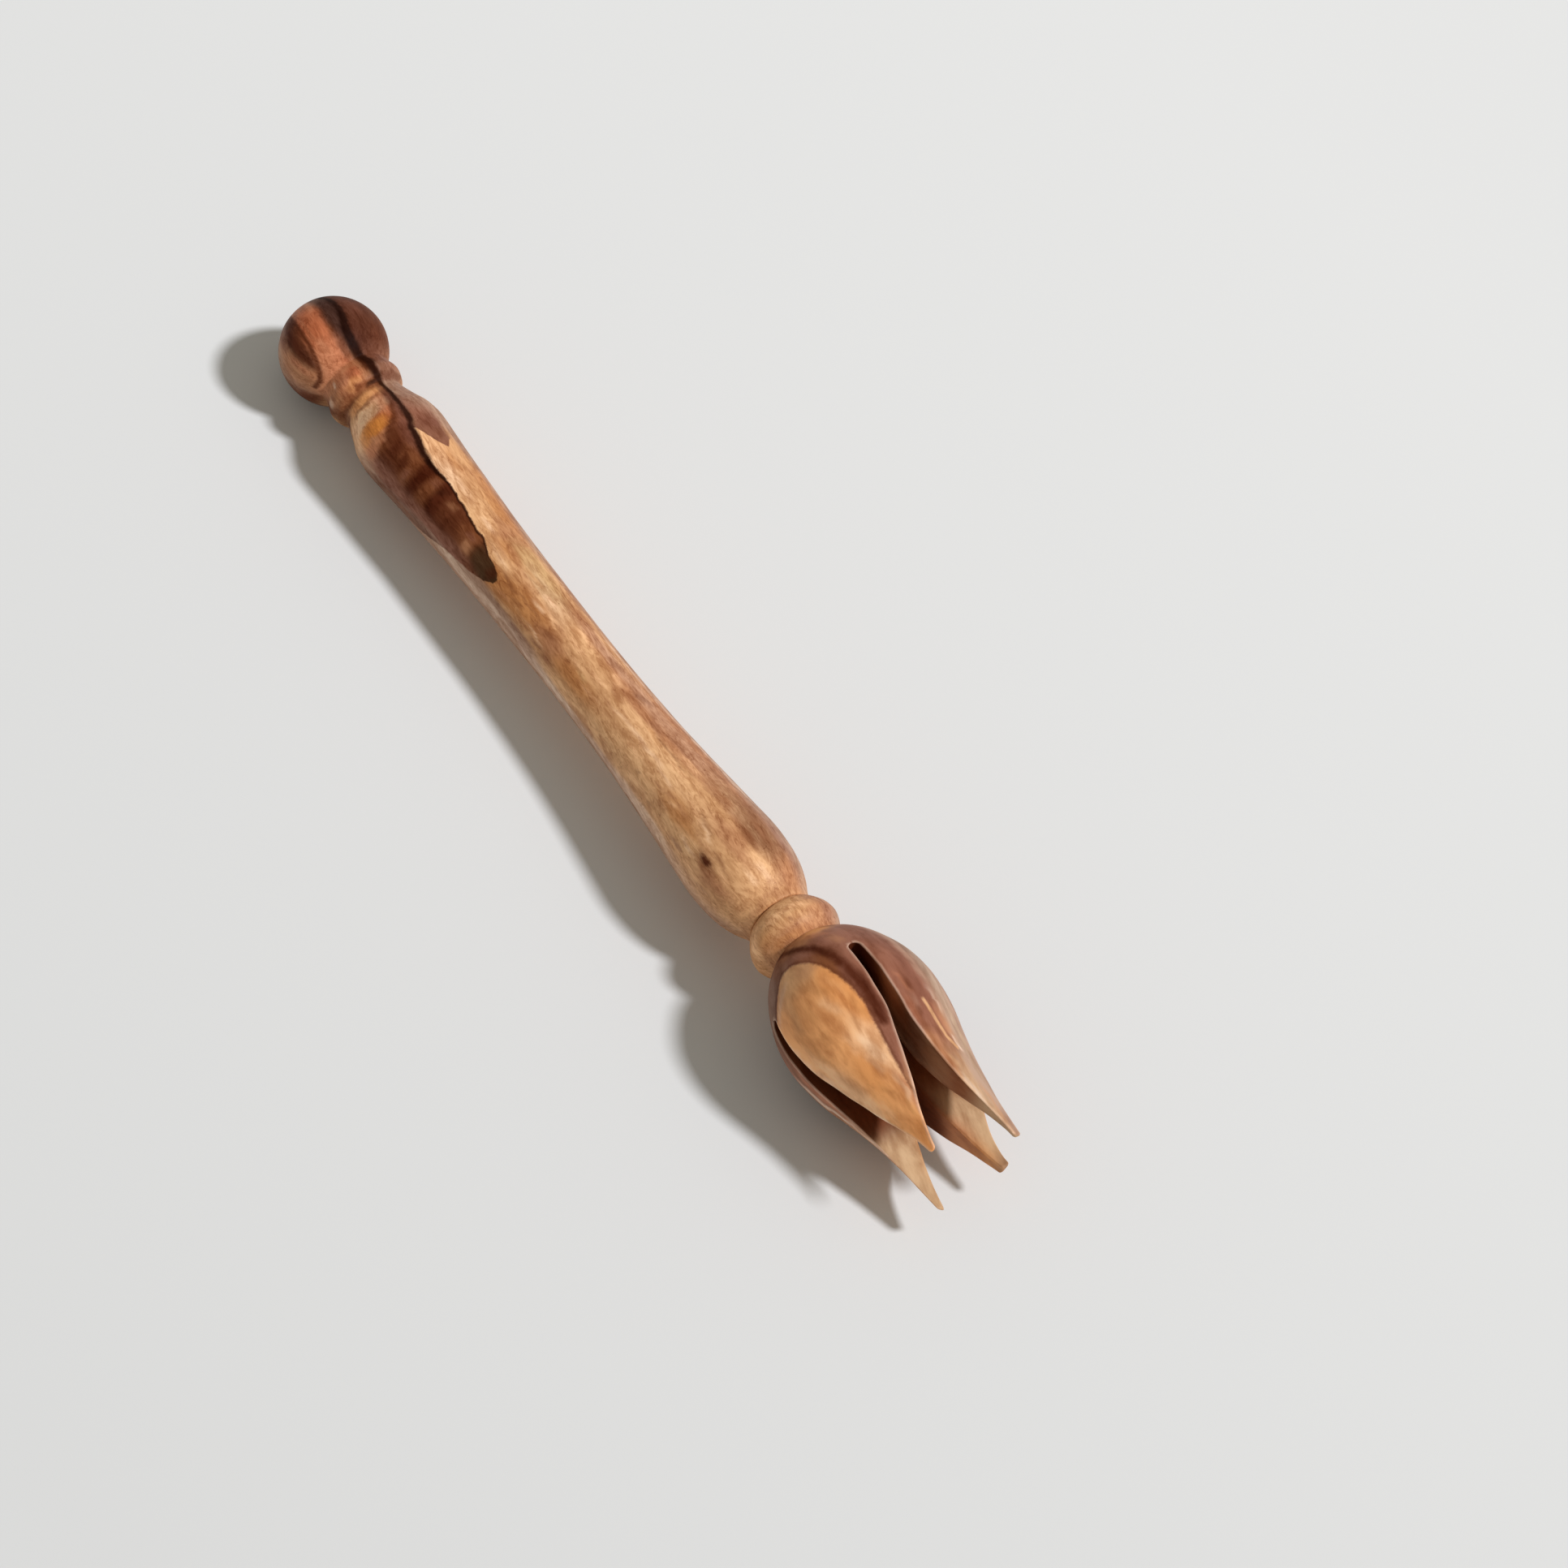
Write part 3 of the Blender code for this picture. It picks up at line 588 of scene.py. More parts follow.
HEART_STROKES = (
    (10, -22, 4, 6, "orange", 0.8), (5, -12, 2.5, 3, "salmon", 0.5, -0.8), (15, -27, 2, 5, "salmon", 0.7),
    (10, -30, 4, 2, "salmon"), (9, 3, 8, 11, "plum", 0.92, -0.3), (13.5, -9, 1.5, 2.5, "brown", 0.6, -1.5),
    (17.5, -9, 1.8, 5, "umber", 0.75), (10, 9, 7, 3, "black", 0.4, -0.6), (16, 3, 3, 4, "black", 0.95, -0.4),
    (9, -42, 5, 3.4, "umber", 0.7, -0.2), (10, -51, 6, 6, "heart", 0.8, -0.4),
    (13.5, -63, 2.6, 5, "salmon", 0.7), (6, -62, 2.5, 8, "brown", 0.6), (13, -75, 4, 5, "rust"),
    (17, -100, 2, 7, "umber", 0.7), (20.3, -18, 0.7, 14, "rust", 0.45), (24.3, -26, 1, 16, "apricot", 0.55),
    (21.5, -52, 1, 4, "bone", 0.5, 1.5), (23, -66, 0.9, 5, "brown", 0.6), (22.8, -78, 1, 7, "bone", 0.55),
    (22.5, -97, 1.4, 7, "umber", 0.8), (22.5, 6, 3, 8, "umber", 0.8), (22, -4, 3, 5, "rust"),
    # the black and brown strokes at 26.2 mm and the umber one at 28.4 mm darken the groove: partly the
    # wood's tone, partly painted shade in the groove
    (24.5, -2, 1.2, 7, "rust"), (26.2, -3, 0.45, 10, "black", 0.85), (26.2, -45, 0.5, 34, "brown", 0.7),
    (28.4, -85, 0.7, 14, "umber", 0.75), (29.8, -32, 0.5, 30, "brown", 0.6), (31.2, -27, 0.6, 10, "apricot"),
    (32.1, -44, 1.7, 32, "cream", 0.95), (33.2, -14, 2.2, 4.5, "salmon", 0.6, -0.8),
    (36, -44, 1.7, 25, "amber", 0.9), (38.9, -44, 0.9, 26, "salmon", 0.8, -8),
    (35.2, -6, 2.4, 2.6, "umber", 0.8, -2.2), (38.2, -20, 1.4, 6, "umber", 0.85, -4.5),
    (41, -46, 0.8, 18, "umber", 0.7), (36, -62, 1.3, 6, "apricot", 0.6),
    (38.6, -46, 0.9, 12, "rust", 0.6, -1.5), (39.3, -27, 0.9, 10, "umber", 0.85, -3),
    (36.4, -11, 2.6, 2.2, "umber", 0.7, -2), (40.7, -48, 0.7, 8, "brown", 0.7),
    (33, 6, 6, 3, "rose", 0.6, -0.9), (32, 1, 4, 2.5, "mauve", 0.6, -0.5),
    (42.8, -34, 0.9, 10, "heart", 0.6, -1), (44.7, -36, 0.6, 8, "brown", 0.4, 1),
    (46.4, -42, 0.9, 10, "heart", 0.65), (48.6, -48, 0.8, 12, "rose"), (51.7, -34, 1.2, 19, "heart", 0.9),
    (50.6, -14, 1, 3, "black", 0.8), (54.6, -22, 0.9, 7, "rose", 0.4, 1), (57.2, -24, 0.9, 8, "black", 0.4),
    (58.3, -42, 1.1, 14, "heart", 0.8), (60.8, -22, 1, 6, "rust", 0.4), (62.5, -50, 0.8, 9, "heart", 0.45),
    (63, -24, 2, 3, "umber"), (66.5, -34, 1.2, 7, "brown", 0.6), (70.3, -47, 1.3, 9, "rust", 0.7),
    (69.4, -30, 1.4, 5, "rose"), (74.5, -40, 2.6, 18, "bark", 0.8, -1.5),
    (78.4, -40, 1.2, 14, "heart", 0.6, -2), (44.5, -58, 3, 4, "umber", 0.6),
    (46, -66, 3, 4, "rose", 0.6, 0.3), (53, -70, 3.5, 4, "rose"), (49, -92, 8, 3, "brown"),
    (62, -80, 5, 3.5, "pink"), (42, -78, 2.5, 5, "brown", 0.4), (35, -88, 4, 6, "pink"),
    (33.5, -76, 3.5, 10, "cream"),
)
# where the two meet: the dark line from the ball to the blunt tip, and back along the shaded side
HEART_EDGE = (
    (-4, 12), (3, 15), (6, 17), (9, 15.5), (12, 13), (14.5, 9.5), (17, 9), (19, 13), (20.4, 17),
    (21.5, 20.5), (22.6, 18), (24, 16), (26, 17), (28, 15), (30, 13.5), (33, 9.5), (36, 7), (38.5, 6),
    (39.8, 4), (41.3, 0), (44, -2), (47, -6.5), (49, -8), (51, -9.5), (53, -9), (56.5, -7.4), (59, -8.4),
    (61.5, -10.8), (64, -11.6), (66.5, -15), (69, -17.6), (71.2, -16.4), (73.2, -20.5), (75, -27),
    (77.5, -29), (79.4, -33), (80.8, -40), (80.3, -48), (78.4, -57), (75.6, -64), (72, -70), (66, -77),
    (60, -92), (50, -112), (38, -125), (26, -150), (10, -176), (-4, -176),
)
# width of that dark line along it: x, mm
INK_X = (0, 5, 13, 19, 21.5, 25, 28, 36, 40, 48, 52, 56, 64, 70, 82)
INK_WIDTH = (0.3, 0.6, 0.9, 1.1, 1.6, 1.4, 0.7, 0.7, 0.8, 0.9, 0.7, 0.35, 0.35, 0.35, 0.2)
# the purple patch's sharp end on the shaft: angle, x
PATCH_END = (
    (-10, 40.8), (1, 41.6), (7, 43.7), (12, 45.6), (18, 47.3), (25, 48.5), (30, 47.6), (36, 46.4),
    (60, 45.5),
)
CRESCENT = (
    (2.2, -41), (4, -38), (6, -36), (9, -35), (12, -36), (14.5, -39.5), (16.3, -45), (17.6, -53),
    (18.2, -64), (17.8, -78),
)
KNOT_X, KNOT_ANGLE = 162.2, -46


def over_pole(x, tone):
    """The wood carries on evenly over the ball's end, where all the angles meet."""
    collar = (x > 1.8) & (x < 2.6)
    cap = 1 - step(0.4, 2.2, x)[:, None]
    return tone * (1 - cap) + tone[collar].mean(axis=0) * cap


def paint_handle(piece):
    p, x, phi, r = spindle_coords(piece)
    store(piece, "tone", over_pole(x, tones(x, phi, HANDLE_TONES, HANDLE_STROKES)))
    store(piece, "heart_tone", over_pole(x, tones(x, phi, HEART_TONES, HEART_STROKES)))
    # the body inside the end face and the tenon are plain tan wood
    cap = 1 - step(1.2, 3.0, x)
    edge = distance(x, phi, HEART_EDGE, 0.155) * (1 - cap) + r * np.sin(np.radians(phi - 13)) * cap
    store(piece, "heart_edge", np.where((x > 100) | (r < 5), FAR, edge))
    ink = np.interp(x, INK_X, INK_WIDTH)
    ink = ink * (1 - step(-20, -60, phi) * step(30, 34, x)) * step(-62, -40, phi)
    store(piece, "ink", np.where(np.abs(wrap(phi)) > 60, 0, ink))
    end = np.interp(wrap(phi), *zip(*PATCH_END))
    store(piece, "patch_edge", np.where(np.abs(x - end) < 12, x - end, FAR))
    store(piece, "patch", step(37.5, 41.5, x) * step(-12, -4, phi) * (1 - step(32, 44, phi)))
    store(piece, "crescent", np.where(x < 20, distance(x, phi, CRESCENT, 0.19, False), FAR))
    from_knot = wrap(phi - KNOT_ANGLE)
    store(piece, "knot", np.where(r > 6, np.hypot((x - KNOT_X) / 1.9, from_knot * 0.19 / 0.95), FAR))
    # the figure flows round the knot and slopes a little across the shaft
    q = p.copy()
    pull = np.exp(-((x - 162) / 9)**2) * np.sign(from_knot) * np.exp(-np.abs(from_knot) / 16) * 1.6
    q[:, 1] += 0.05 * (x - 100) + pull
    q[:, 2] += 0.03 * (x - 100) - 0.4 * pull
    store(piece, "figure", q)


RING_TONES = {
    "tan": ((178, -60, 3, 60), (184, 5, 2.2, 20), (184, -45, 2, 20), (183, 130, 4, 40)),
    "light": ((181, -20, 2, 30), (183, -85, 4, 20)),
    "rust": ((183, 40, 4, 20), (187, -10, 1.6, 30), (187, -60, 2, 30)),
    "pink": ((183, 75, 4, 30),),
    "gold": ((183, -150, 4, 40),),
}
RING_STROKES = (
    (182, 4, 1, 12, "peach", 0.6, 2), (181.6, -26, 1, 12, "peach", 0.6),
    (184.6, -11, 0.5, 2.5, "brown", 0.6), (182, -9, 0.5, 2.5, "rust", 0.6), (184.4, 20, 1.4, 8, "rust"),
    (183.5, -56, 2.4, 15, "gold"), (186.8, -30, 0.8, 40, "gold"), (184.5, 44, 2, 10, "rose"),
    (182.5, -72, 2, 9, "peach"),
)


def paint_ring(piece):
    p, x, phi = spindle_coords(piece)[:3]
    store(piece, "tone", tones(x, phi, RING_TONES, RING_STROKES))
    store(piece, "figure", p)


HEAD_TONES = {
    "rust": ((189, 5, 2.2, 30), (189.5, -22, 1.6, 12), (234, -22, 4, 4), (224, 40, 4, 4), (229, 24, 4, 6),
        (232, 33, 5, 5), (230, 130, 14, 30), (228, -130, 12, 22)),
    "rose": ((190, 50, 3, 25), (194, -2, 3, 9), (196, 18, 5, 12), (196, -34, 2.6, 9), (206, 2, 5, 4),
        (221, -11, 5, 4), (228, -16, 4, 4), (203, 22, 5, 9), (212, 20, 5, 8), (206, 40, 8, 7),
        (219, 16, 3, 5), (222, 25, 3, 4), (226, 33, 3, 4), (205, 130, 12, 25), (214, -100, 10, 12)),
    "brown": ((190, -50, 2.5, 16), (201, -14, 3, 6), (205, 85, 12, 20), (190, 130, 4, 60)),
    "grey": ((190, -85, 4, 22), (195, -62, 4, 12), (196, -90, 6, 18)),
    "mauve": ((205, -7, 5, 4), (213, -7, 5, 3.5), (211, 33, 6, 6), (216, 25, 3, 4), (205, -135, 12, 22)),
    "light": ((238, 32, 6, 5), (246, 36, 5, 5), (244, -135, 9, 25)),
    "pink": ((236, 45, 8, 7), (247, 48, 6, 10), (215, 50, 12, 7), (214, 62, 14, 10), (232, 60, 10, 10),
        (200, 55, 7, 12)),
    "tan": ((246, 135, 6, 40),),
    "umber": ((205, 180, 12, 25),),
}
HEAD_STROKES = (
    (189.6, 4, 1.6, 18, "apricot", 0.7), (191.5, -6, 1.4, 7, "salmon", 0.5, 3),
    (192.5, 22, 2.6, 8, "rose", 0.6), (196, 4, 2.4, 5, "rust", 0.4, 1), (196.5, -27, 2, 5, "brown", 0.5, 4),
    (193, -56, 2.6, 9, "brown", 0.5, 2), (200, 25, 4, 5, "mauve"), (208, 19, 6, 3, "rose", 0.6),
    (206, 32, 6, 4, "mauve", 0.7), (213, 37, 5, 2.4, "rose", 0.5, 0.4), (207, 42, 8, 3, "pink"),
    (214.5, 26, 2.2, 3, "umber"), (213, 21, 3, 1.6, "salmon", 0.4, 0.5),
    (219.5, 17, 3.5, 3.4, "salmon", 0.35), (218, 22, 2, 1.8, "pink", 0.4),
    (224, 27.5, 3, 2.2, "umber", 0.5, 0.6), (226.5, 37.5, 3, 2, "brown", 0.55, 0.9),
    (221, 36, 3, 1.5, "salmon", 0.5, 1), (218, 41, 3.4, 1.2, "bone", 0.4, 0.6),
    (228, 43, 1.6, 1.6, "bone", 0.7, 1), (228, 20, 3, 2.6, "rust", 0.5, 0.8), (224, 30, 9, 10, "rose", 0.4),
    (232, 27, 2.4, 2.4, "light", 0.35, 1.2), (233, 36, 3, 2.6, "gold", 0.5, 0.5),
    (239, 30, 4, 2.6, "bone", 0.6, 0.6), (240, 38, 4, 2.4, "rust", 0.4), (246, 33, 4, 3, "peach", 0.6, 0.4),
    # the pale stroke at 218 mm, 53 degrees, is a painted rim highlight along the outline of the petal at 45
    # degrees
    (243, 43, 5, 3, "gold", 0.4), (218, 53, 12, 3, "bone", 0.25), (205, 50, 6, 4, "grey"),
    (228, 55, 8, 4, "olive", 0.3), (209, -2.5, 5, 2.2, "mauve", 0.4, -0.1),
    (216, -6, 4, 2, "mauve", 0.6, -0.6), (205, -8.5, 4, 2, "rose", 0.6, 0.2),
    (222, -12, 3.4, 2.2, "rose", 0.5, -0.8), (224, -9, 5, 2.4, "rose", 0.5, -1),
    (229, -15, 3.2, 2.4, "rust", 0.4, -1.3), (236, -23, 4, 1.6, "bone", 0.35, -1.5),
    # the pale grey stroke at 220 mm, 53 degrees, is a painted rim highlight along the same outline; the one
    # at 239 mm is the wood's own grey tone
    (218, 27, 9, 13, "mauve", 0.25), (239, 34, 10, 9, "grey_tan"), (220, 53, 20, 8, "grey_tan", 0.4),
    # the bone strokes at 218 and 235 mm near -105 degrees paint a rim highlight along the outer edge of the
    # petal at 225 degrees
    (218, -105, 8, 3.4, "bone", 0.8), (213, -94, 6, 3, "salmon", 0.5, -0.3),
    (222, -98, 3.4, 2, "salmon", 0.5, -1.4), (207, -96, 5, 5, "grey", 0.6), (235, -108, 9, 4, "bone", 0.6),
)
FACE_TONES = {
    "tan": ((199, -45, 3, 16),),
    "honey": ((205, -22, 4, 6), (212, -18, 4, 5), (226, -42, 6, 8), (243, -42, 4, 8)),
    "apricot": ((206, -50, 5, 14), (213, -36, 5, 8), (217, -52, 6, 9), (232, -34, 5, 6), (236, -48, 6, 8),
        (210, -70, 7, 6)),
    "peach": ((220, -28, 5, 6), (226, -20, 5, 5), (225, -66, 7, 7)),
    "salmon": ((234, -26, 4, 4),),
}
FACE_STROKES = (
    (199, -32, 2, 8, "rust", 0.5, 1), (204, -35, 3, 4, "gold", 0.5, 1.5),
    (207, -21, 3.5, 3, "apricot", 0.6, 0.5), (210, -32, 2.6, 3, "peach", 0.6, 0.8),
    (214, -17, 4, 2.2, "gold", 0.45), (214.5, -48, 1.6, 3, "gold", 0.5, 0.5), (216, -60, 3, 3, "gold", 0.45),
    (205, -58, 4, 5, "tan", 0.5, -0.5), (222, -27, 4, 4, "cream", 0.85, 0.4),
    (232, -28, 3.4, 3, "cream", 0.6, -0.6), (219, -37, 2.6, 3, "peach", 0.5, -0.6),
    (225, -33, 2.4, 2.6, "cream"), (216, -25, 2, 2.4, "gold", 0.4, -0.8), (231, -40, 2, 3, "gold", 0.5, 0.5),
    (236, -34, 2.4, 2.4, "gold", 0.55, -0.6), (229, -52, 3.4, 3, "apricot"),
    (239, -31, 2.4, 1.8, "rust", 0.4, -1.2), (234, -54, 3, 3, "peach", 0.4, 0.4),
    (243, -38, 2.6, 5, "gold", 0.4), (208, -45, 2.4, 3, "gold", 0.4), (224, -60, 3, 3, "gold", 0.35),
    # the bone strokes in these lines, along the front face's edge by the slot at -90 degrees, are a painted
    # highlight
    (217, -75, 14, 2.2, "bone", 0.35, 0.28), (200, -64, 3, 4, "bone", 0.35, -4),
    (235, -66, 5, 4, "bone", 0.5, 1.3), (220, -66, 9, 5, "cream", 0.4, 0.3),
)
# the cut faces and the hollow: dark at the roots of the slots, light towards the tips; the darkness deep in
# the slots and on the faces turned from the light is painted shade over the wood's own colour
INSIDE_TONES_AND_SHADE = {
    "heart": ((198, 0, 6, 400), (216, 158, 7, 22), (214, 250, 5, 24)),
    "umber": ((205, 25, 5, 22), (205, 112, 6, 22), (228, 158, 5, 20), (205, 250, 6, 26), (222, 248, 5, 22),
        (229, 246, 3, 20)),
    "rust": ((213, 25, 5, 22), (236, 150, 4, 14)),
    "walnut": ((221, 25, 5, 22),),
    "clay": ((229, 28, 5, 20), (245, 66, 8, 14), (248, 128, 3, 14)),
    "brown": ((237, 30, 5, 18), (225, 70, 14, 18), (216, 112, 5, 22), (224, 112, 5, 20), (214, 205, 10, 20),
        (212, -62, 9, 20), (212, -20, 9, 22)),
    "oat": ((246, 38, 6, 16), (232, 115, 5, 18), (241, 122, 6, 14), (235, 242, 4, 16), (246, 232, 6, 16)),
    "gold": ((245, 146, 6, 12), (235, -56, 10, 16), (235, -30, 10, 16)),
    "tan": ((236, 210, 10, 16),),
}
# the pale face of the front petal, and the dark arc that rings its root
FACE_EDGE = (
    (194.9, -50), (195.1, -42), (196.2, -33), (198.2, -26), (201, -20), (205, -15.5), (209, -13),
    (214, -12.4), (219.5, -15.5), (224, -18.2), (229, -21.5), (234, -25), (240, -30), (250, -36), (260, -50),
    (250, -84), (203.5, -84), (200.8, -74), (198.4, -66), (196.2, -58),
)
ROOT_ARC = (
    (186.5, -80), (187.6, -63), (188.8, -50), (190.2, -40), (191.8, -31), (193.6, -22), (196, -14.5),
    (199.5, -9.5), (204, -6.6), (209, -5.4), (214, -6), (219, -9),
)
SCRATCH = ((217.6, 29), (220, 30.8), (223.5, 32.4), (226.5, 34.5), (229, 40.5))


def paint_head(piece):
    p, x, phi, r = spindle_coords(piece)
    store(piece, "tone", tones(x, phi, HEAD_TONES, HEAD_STROKES))
    store(piece, "face_tone", tones(x, phi, FACE_TONES, FACE_STROKES))
    store(piece, "inner_tone_and_shade", tones(x, phi, INSIDE_TONES_AND_SHADE))
    store(piece, "face_edge", distance(x, phi, FACE_EDGE, 0.26))
    store(piece, "arc", distance(x, phi, ROOT_ARC, 0.25, False))
    store(piece, "scratch", distance(x, phi, SCRATCH, 0.27, False))
    store(piece, "depth", np.where(x < FLOOR_X - 0.4, 0, np.clip(HEAD(x) - r, 0, 4)))
    # distance to the nearest cut edge, along the outside
    cut = np.full(len(x), FAR)
    for slot in range(4):
        for side, petal in ((1, slot), (-1, (slot + 3) % 4)):
            turned = np.degrees(slot_side(slot, side, petal, np.maximum(x, SLOT_ROOT_X + 0.2)))
            along = np.radians(np.abs(wrap(phi - turned))) * r
            cut = np.minimum(cut, np.hypot(along, np.clip(SLOT_ROOT_X - x, 0, FAR)))
    store(piece, "cut", cut)
    q = p.copy()
    q[:, 1] += 0.10 * (x - 215)
    store(piece, "figure", q)


class Value:
    """An output of a node, so that sums of them read like plain arithmetic."""

    def __init__(self, graph, socket):
        self.graph, self.socket = graph, socket

    def __add__(self, other):
        return self.graph.math("ADD", self, other)

    def __sub__(self, other):
        return self.graph.math("SUBTRACT", self, other)

    def __mul__(self, other):
        return self.graph.math("MULTIPLY", self, other)

    def __truediv__(self, other):
        return self.graph.math("DIVIDE", self, other)

    def __abs__(self):
        return self.graph.math("ABSOLUTE", self, 0.0)

    __radd__, __rmul__ = __add__, __mul__


class Graph:
    """Short-hand for building one material's nodes."""

    def __init__(self, name):
        self.material = bpy.data.materials.new(name)
        self.material.use_nodes = True
        self.tree = self.material.node_tree
        self.shader = self.tree.nodes["Principled BSDF"].inputs

    def put(self, socket, value):
        if isinstance(value, Value):
            self.tree.links.new(value.socket, socket)
        elif isinstance(value, tuple) and socket.type == "RGBA":
            socket.default_value = (*value, 1.0)
        else:
            socket.default_value = value

    def node(self, kind, inputs, output=0, **settings):
        """Add a node with these settings and inputs, and give back one of its outputs."""
        node = self.tree.nodes.new("ShaderNode" + kind)
        for name, value in settings.items():
            setattr(node, name, value)
        for key, value in inputs.items():
            self.put(node.inputs[key], value)
        return Value(self, node.outputs[output])

    def attribute(self, name, output="Fac"):
        return self.node("Attribute", {}, output, attribute_name=name)

    def math(self, operation, a, b):
        return self.node("Math", {0: a, 1: b}, operation=operation)

    def noise(self, where, scale, detail, rough, distortion):
        """Smooth noise 0..1; scale is cycles per mm along x, y, z."""
        where = self.node("VectorMath", {0: where, 1: scale}, operation="MULTIPLY")
        return self.node("TexNoise", {"Vector": where, "Scale": 1.0, "Detail": detail, "Roughness": rough,
                                      "Distortion": distortion}, "Fac")

    def ramp(self, value, low, high, to_low=0.0, to_high=1.0, shape="SMOOTHSTEP"):
        return self.node("MapRange", {"Value": value, "From Min": low, "From Max": high, "To Min": to_low,
                                      "To Max": to_high}, "Result", interpolation_type=shape)

    def mix(self, factor, a, b, blend="MIX"):
        return self.node("Mix", {0: factor, 6: a, 7: b}, 2, data_type="RGBA", blend_type=blend)


def wood_material(name, layers, contrast=1.0, fine=1.0):
    """Turned, oiled wood: painted tone and edges, then figure, veins, fibres, pores and fine relief."""
    g = Graph(name)
    where = g.attribute("figure", "Vector")
    blotch = g.noise(where, (0.10, 0.30, 0.30), 3.0, 0.55, 1.6 * fine - 0.3)
    flame = g.noise(where, (0.26, 0.95, 0.95), 4.0, 0.62, 1.9 * fine - 0.3)
    fibre = g.noise(where, (0.40, 2.8, 2.8), 3.0, 0.6, 0.3)
    ragged = g.noise(where, (0.55, 0.8, 0.8), 4.0, 0.65, 0.5) - 0.5
    colour = layers(g, g.attribute("tone", "Vector"), ragged)
    figure = blotch * (0.97 - 0.57 * fine) + flame * (0.03 + 0.42 * fine) + fibre * (0.15 * fine)
    spread = 0.13 / contrast
    light = g.ramp(figure + 0.075 * (1 - fine), 0.5 - spread, 0.5 + spread)
    colour = g.mix(1.0, colour, g.mix(light, (0.76, 0.65, 0.57), (1.26, 1.33, 1.40)), "MULTIPLY")
    ridge = abs(g.noise(where, (0.08, 0.36, 0.36), 2.5, 0.55, 2.2) - 0.5)
    vein = g.ramp(ridge, 0.022, 0.002) * g.ramp(blotch, 0.56, 0.42) * max(0.0, fine - 0.4)
    colour = g.mix(vein, colour, g.mix(1.0, colour, (0.58, 0.44, 0.36), "MULTIPLY"))
    pores = g.ramp(g.noise(where, (0.30, 3.4, 3.4), 2.0, 0.5, 0.0), 0.62, 0.72)
    colour = g.mix(pores * (0.30 * fine), colour, g.mix(1.0, colour, (0.60, 0.46, 0.38), "MULTIPLY"))
    g.put(g.shader["Base Color"], colour)
    g.put(g.shader["Roughness"], flame * 0.20 + 0.40 + pores * 0.10)
    # oil shines less on the dark wood
    g.put(g.shader["Specular IOR Level"], g.ramp(g.node("RGBToBW", {0: colour}), 0.0, 0.22, 0.02, 0.20))
    relief = fibre * 0.6 + flame * 0.5 - pores * 0.5
    g.put(g.shader["Normal"], g.node("Bump", {"Strength": 0.30, "Distance": 0.00012, "Height": relief}))
    return g.material


def handle_layers(g, colour, ragged):
    edge = g.attribute("heart_edge") + ragged
    patch = g.ramp(g.attribute("patch_edge") + ragged * 0.7, 0.25, -0.25) * g.attribute("patch")
    colour = g.mix(patch * 0.92, colour, WOOD["mauve"])
    colour = g.mix(g.ramp(edge, 0.20, -0.20), colour, g.attribute("heart_tone", "Vector"))
    width = g.attribute("ink")
    line = g.ramp(abs(edge + width * 0.55) / g.math("MAXIMUM", width, 0.01), 1.35, 0.25)
    colour = g.mix(line * g.ramp(width, 0.02, 0.45) * 0.9, colour, WOOD["black"])
    crescent = g.ramp(g.attribute("crescent") + ragged * 0.25, 0.85, 0.10)
    colour = g.mix(crescent * 0.9, colour, WOOD["umber"])
    knot = g.attribute("knot") + ragged * 1.4
    colour = g.mix(g.ramp(knot, 2.6, 0.6) * 0.5, colour, WOOD["brown"])
    return g.mix(g.ramp(knot, 1.3, 0.35) * 0.95, colour, WOOD["heart"])


def ring_layers(g, colour, ragged):
    spots = g.ramp(g.noise(g.attribute("figure", "Vector"), (0.6, 0.6, 0.6), 2.0, 0.5, 0.6), 0.64, 0.74)
    return g.mix(spots * 0.55, colour, WOOD["rust"])


def head_layers(g, colour, ragged):
    arc = g.ramp(g.attribute("arc") + ragged * 1.1, 1.6, 0.1)
    colour = g.mix(arc * 0.92, colour, WOOD["heart"])
    face = g.attribute("face_edge") + ragged * 1.3
    colour = g.mix(g.ramp(abs(face - 0.5), 0.6, 0.05) * 0.5, colour, WOOD["umber"])
    colour = g.mix(g.ramp(face, 0.45, -0.35), colour, g.attribute("face_tone", "Vector"))
    scratch = g.ramp(g.attribute("scratch") + ragged * 0.35, 0.7, 0.15)
    colour = g.mix(scratch * 0.7, colour, WOOD["light"])
    # a pale line along the cut edges of the outside: a painted highlight where the edges catch the light
    edge_highlight = g.ramp(g.attribute("cut") + ragged * 0.5, 0.75, 0.15)
    colour = g.mix(edge_highlight * 0.28, colour, WOOD["bone"])
    # the cut faces and the hollow take the inside tones, which carry painted shade deep in the slots and on
    # the shaded faces
    return g.mix(g.ramp(g.attribute("depth"), 0.22, 0.5), colour, g.attribute("inner_tone_and_shade", "Vector"))


handle, ring, head = make_handle(), make_ring(), make_head()
paint_handle(handle)
paint_ring(ring)
paint_head(head)

handle.data.materials.append(wood_material("oiled_wood_handle", handle_layers))
ring.data.materials.append(wood_material("oiled_wood_ring", ring_layers, contrast=0.9))
head.data.materials.append(wood_material("oiled_wood_head", head_layers, contrast=0.75, fine=0.4))
for piece, node, body, slot in ((handle, "handle", "handle_body", "handle_wood"),
                                (ring, "collar_ring", "head_body", "ring_wood"),
                                (head, "tulip_head", "head_body", "head_wood")):
    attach(piece, body)
    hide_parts(node)


# ---------------------------------------------------------------- floor
FLOOR_HALF = 6.0
FLOOR_COLOUR = (0.82, 0.82, 0.815)
floor_mesh = bpy.data.meshes.new("floor")
floor_mesh.from_pydata([(-FLOOR_HALF, -FLOOR_HALF, 0), (FLOOR_HALF, -FLOOR_HALF, 0),
                        (FLOOR_HALF, FLOOR_HALF, 0), (-FLOOR_HALF, FLOOR_HALF, 0)], [], [(0, 1, 2, 3)])
floor = add_object("floor", floor_mesh)
floor.location.z = CAD_BOX[0].z
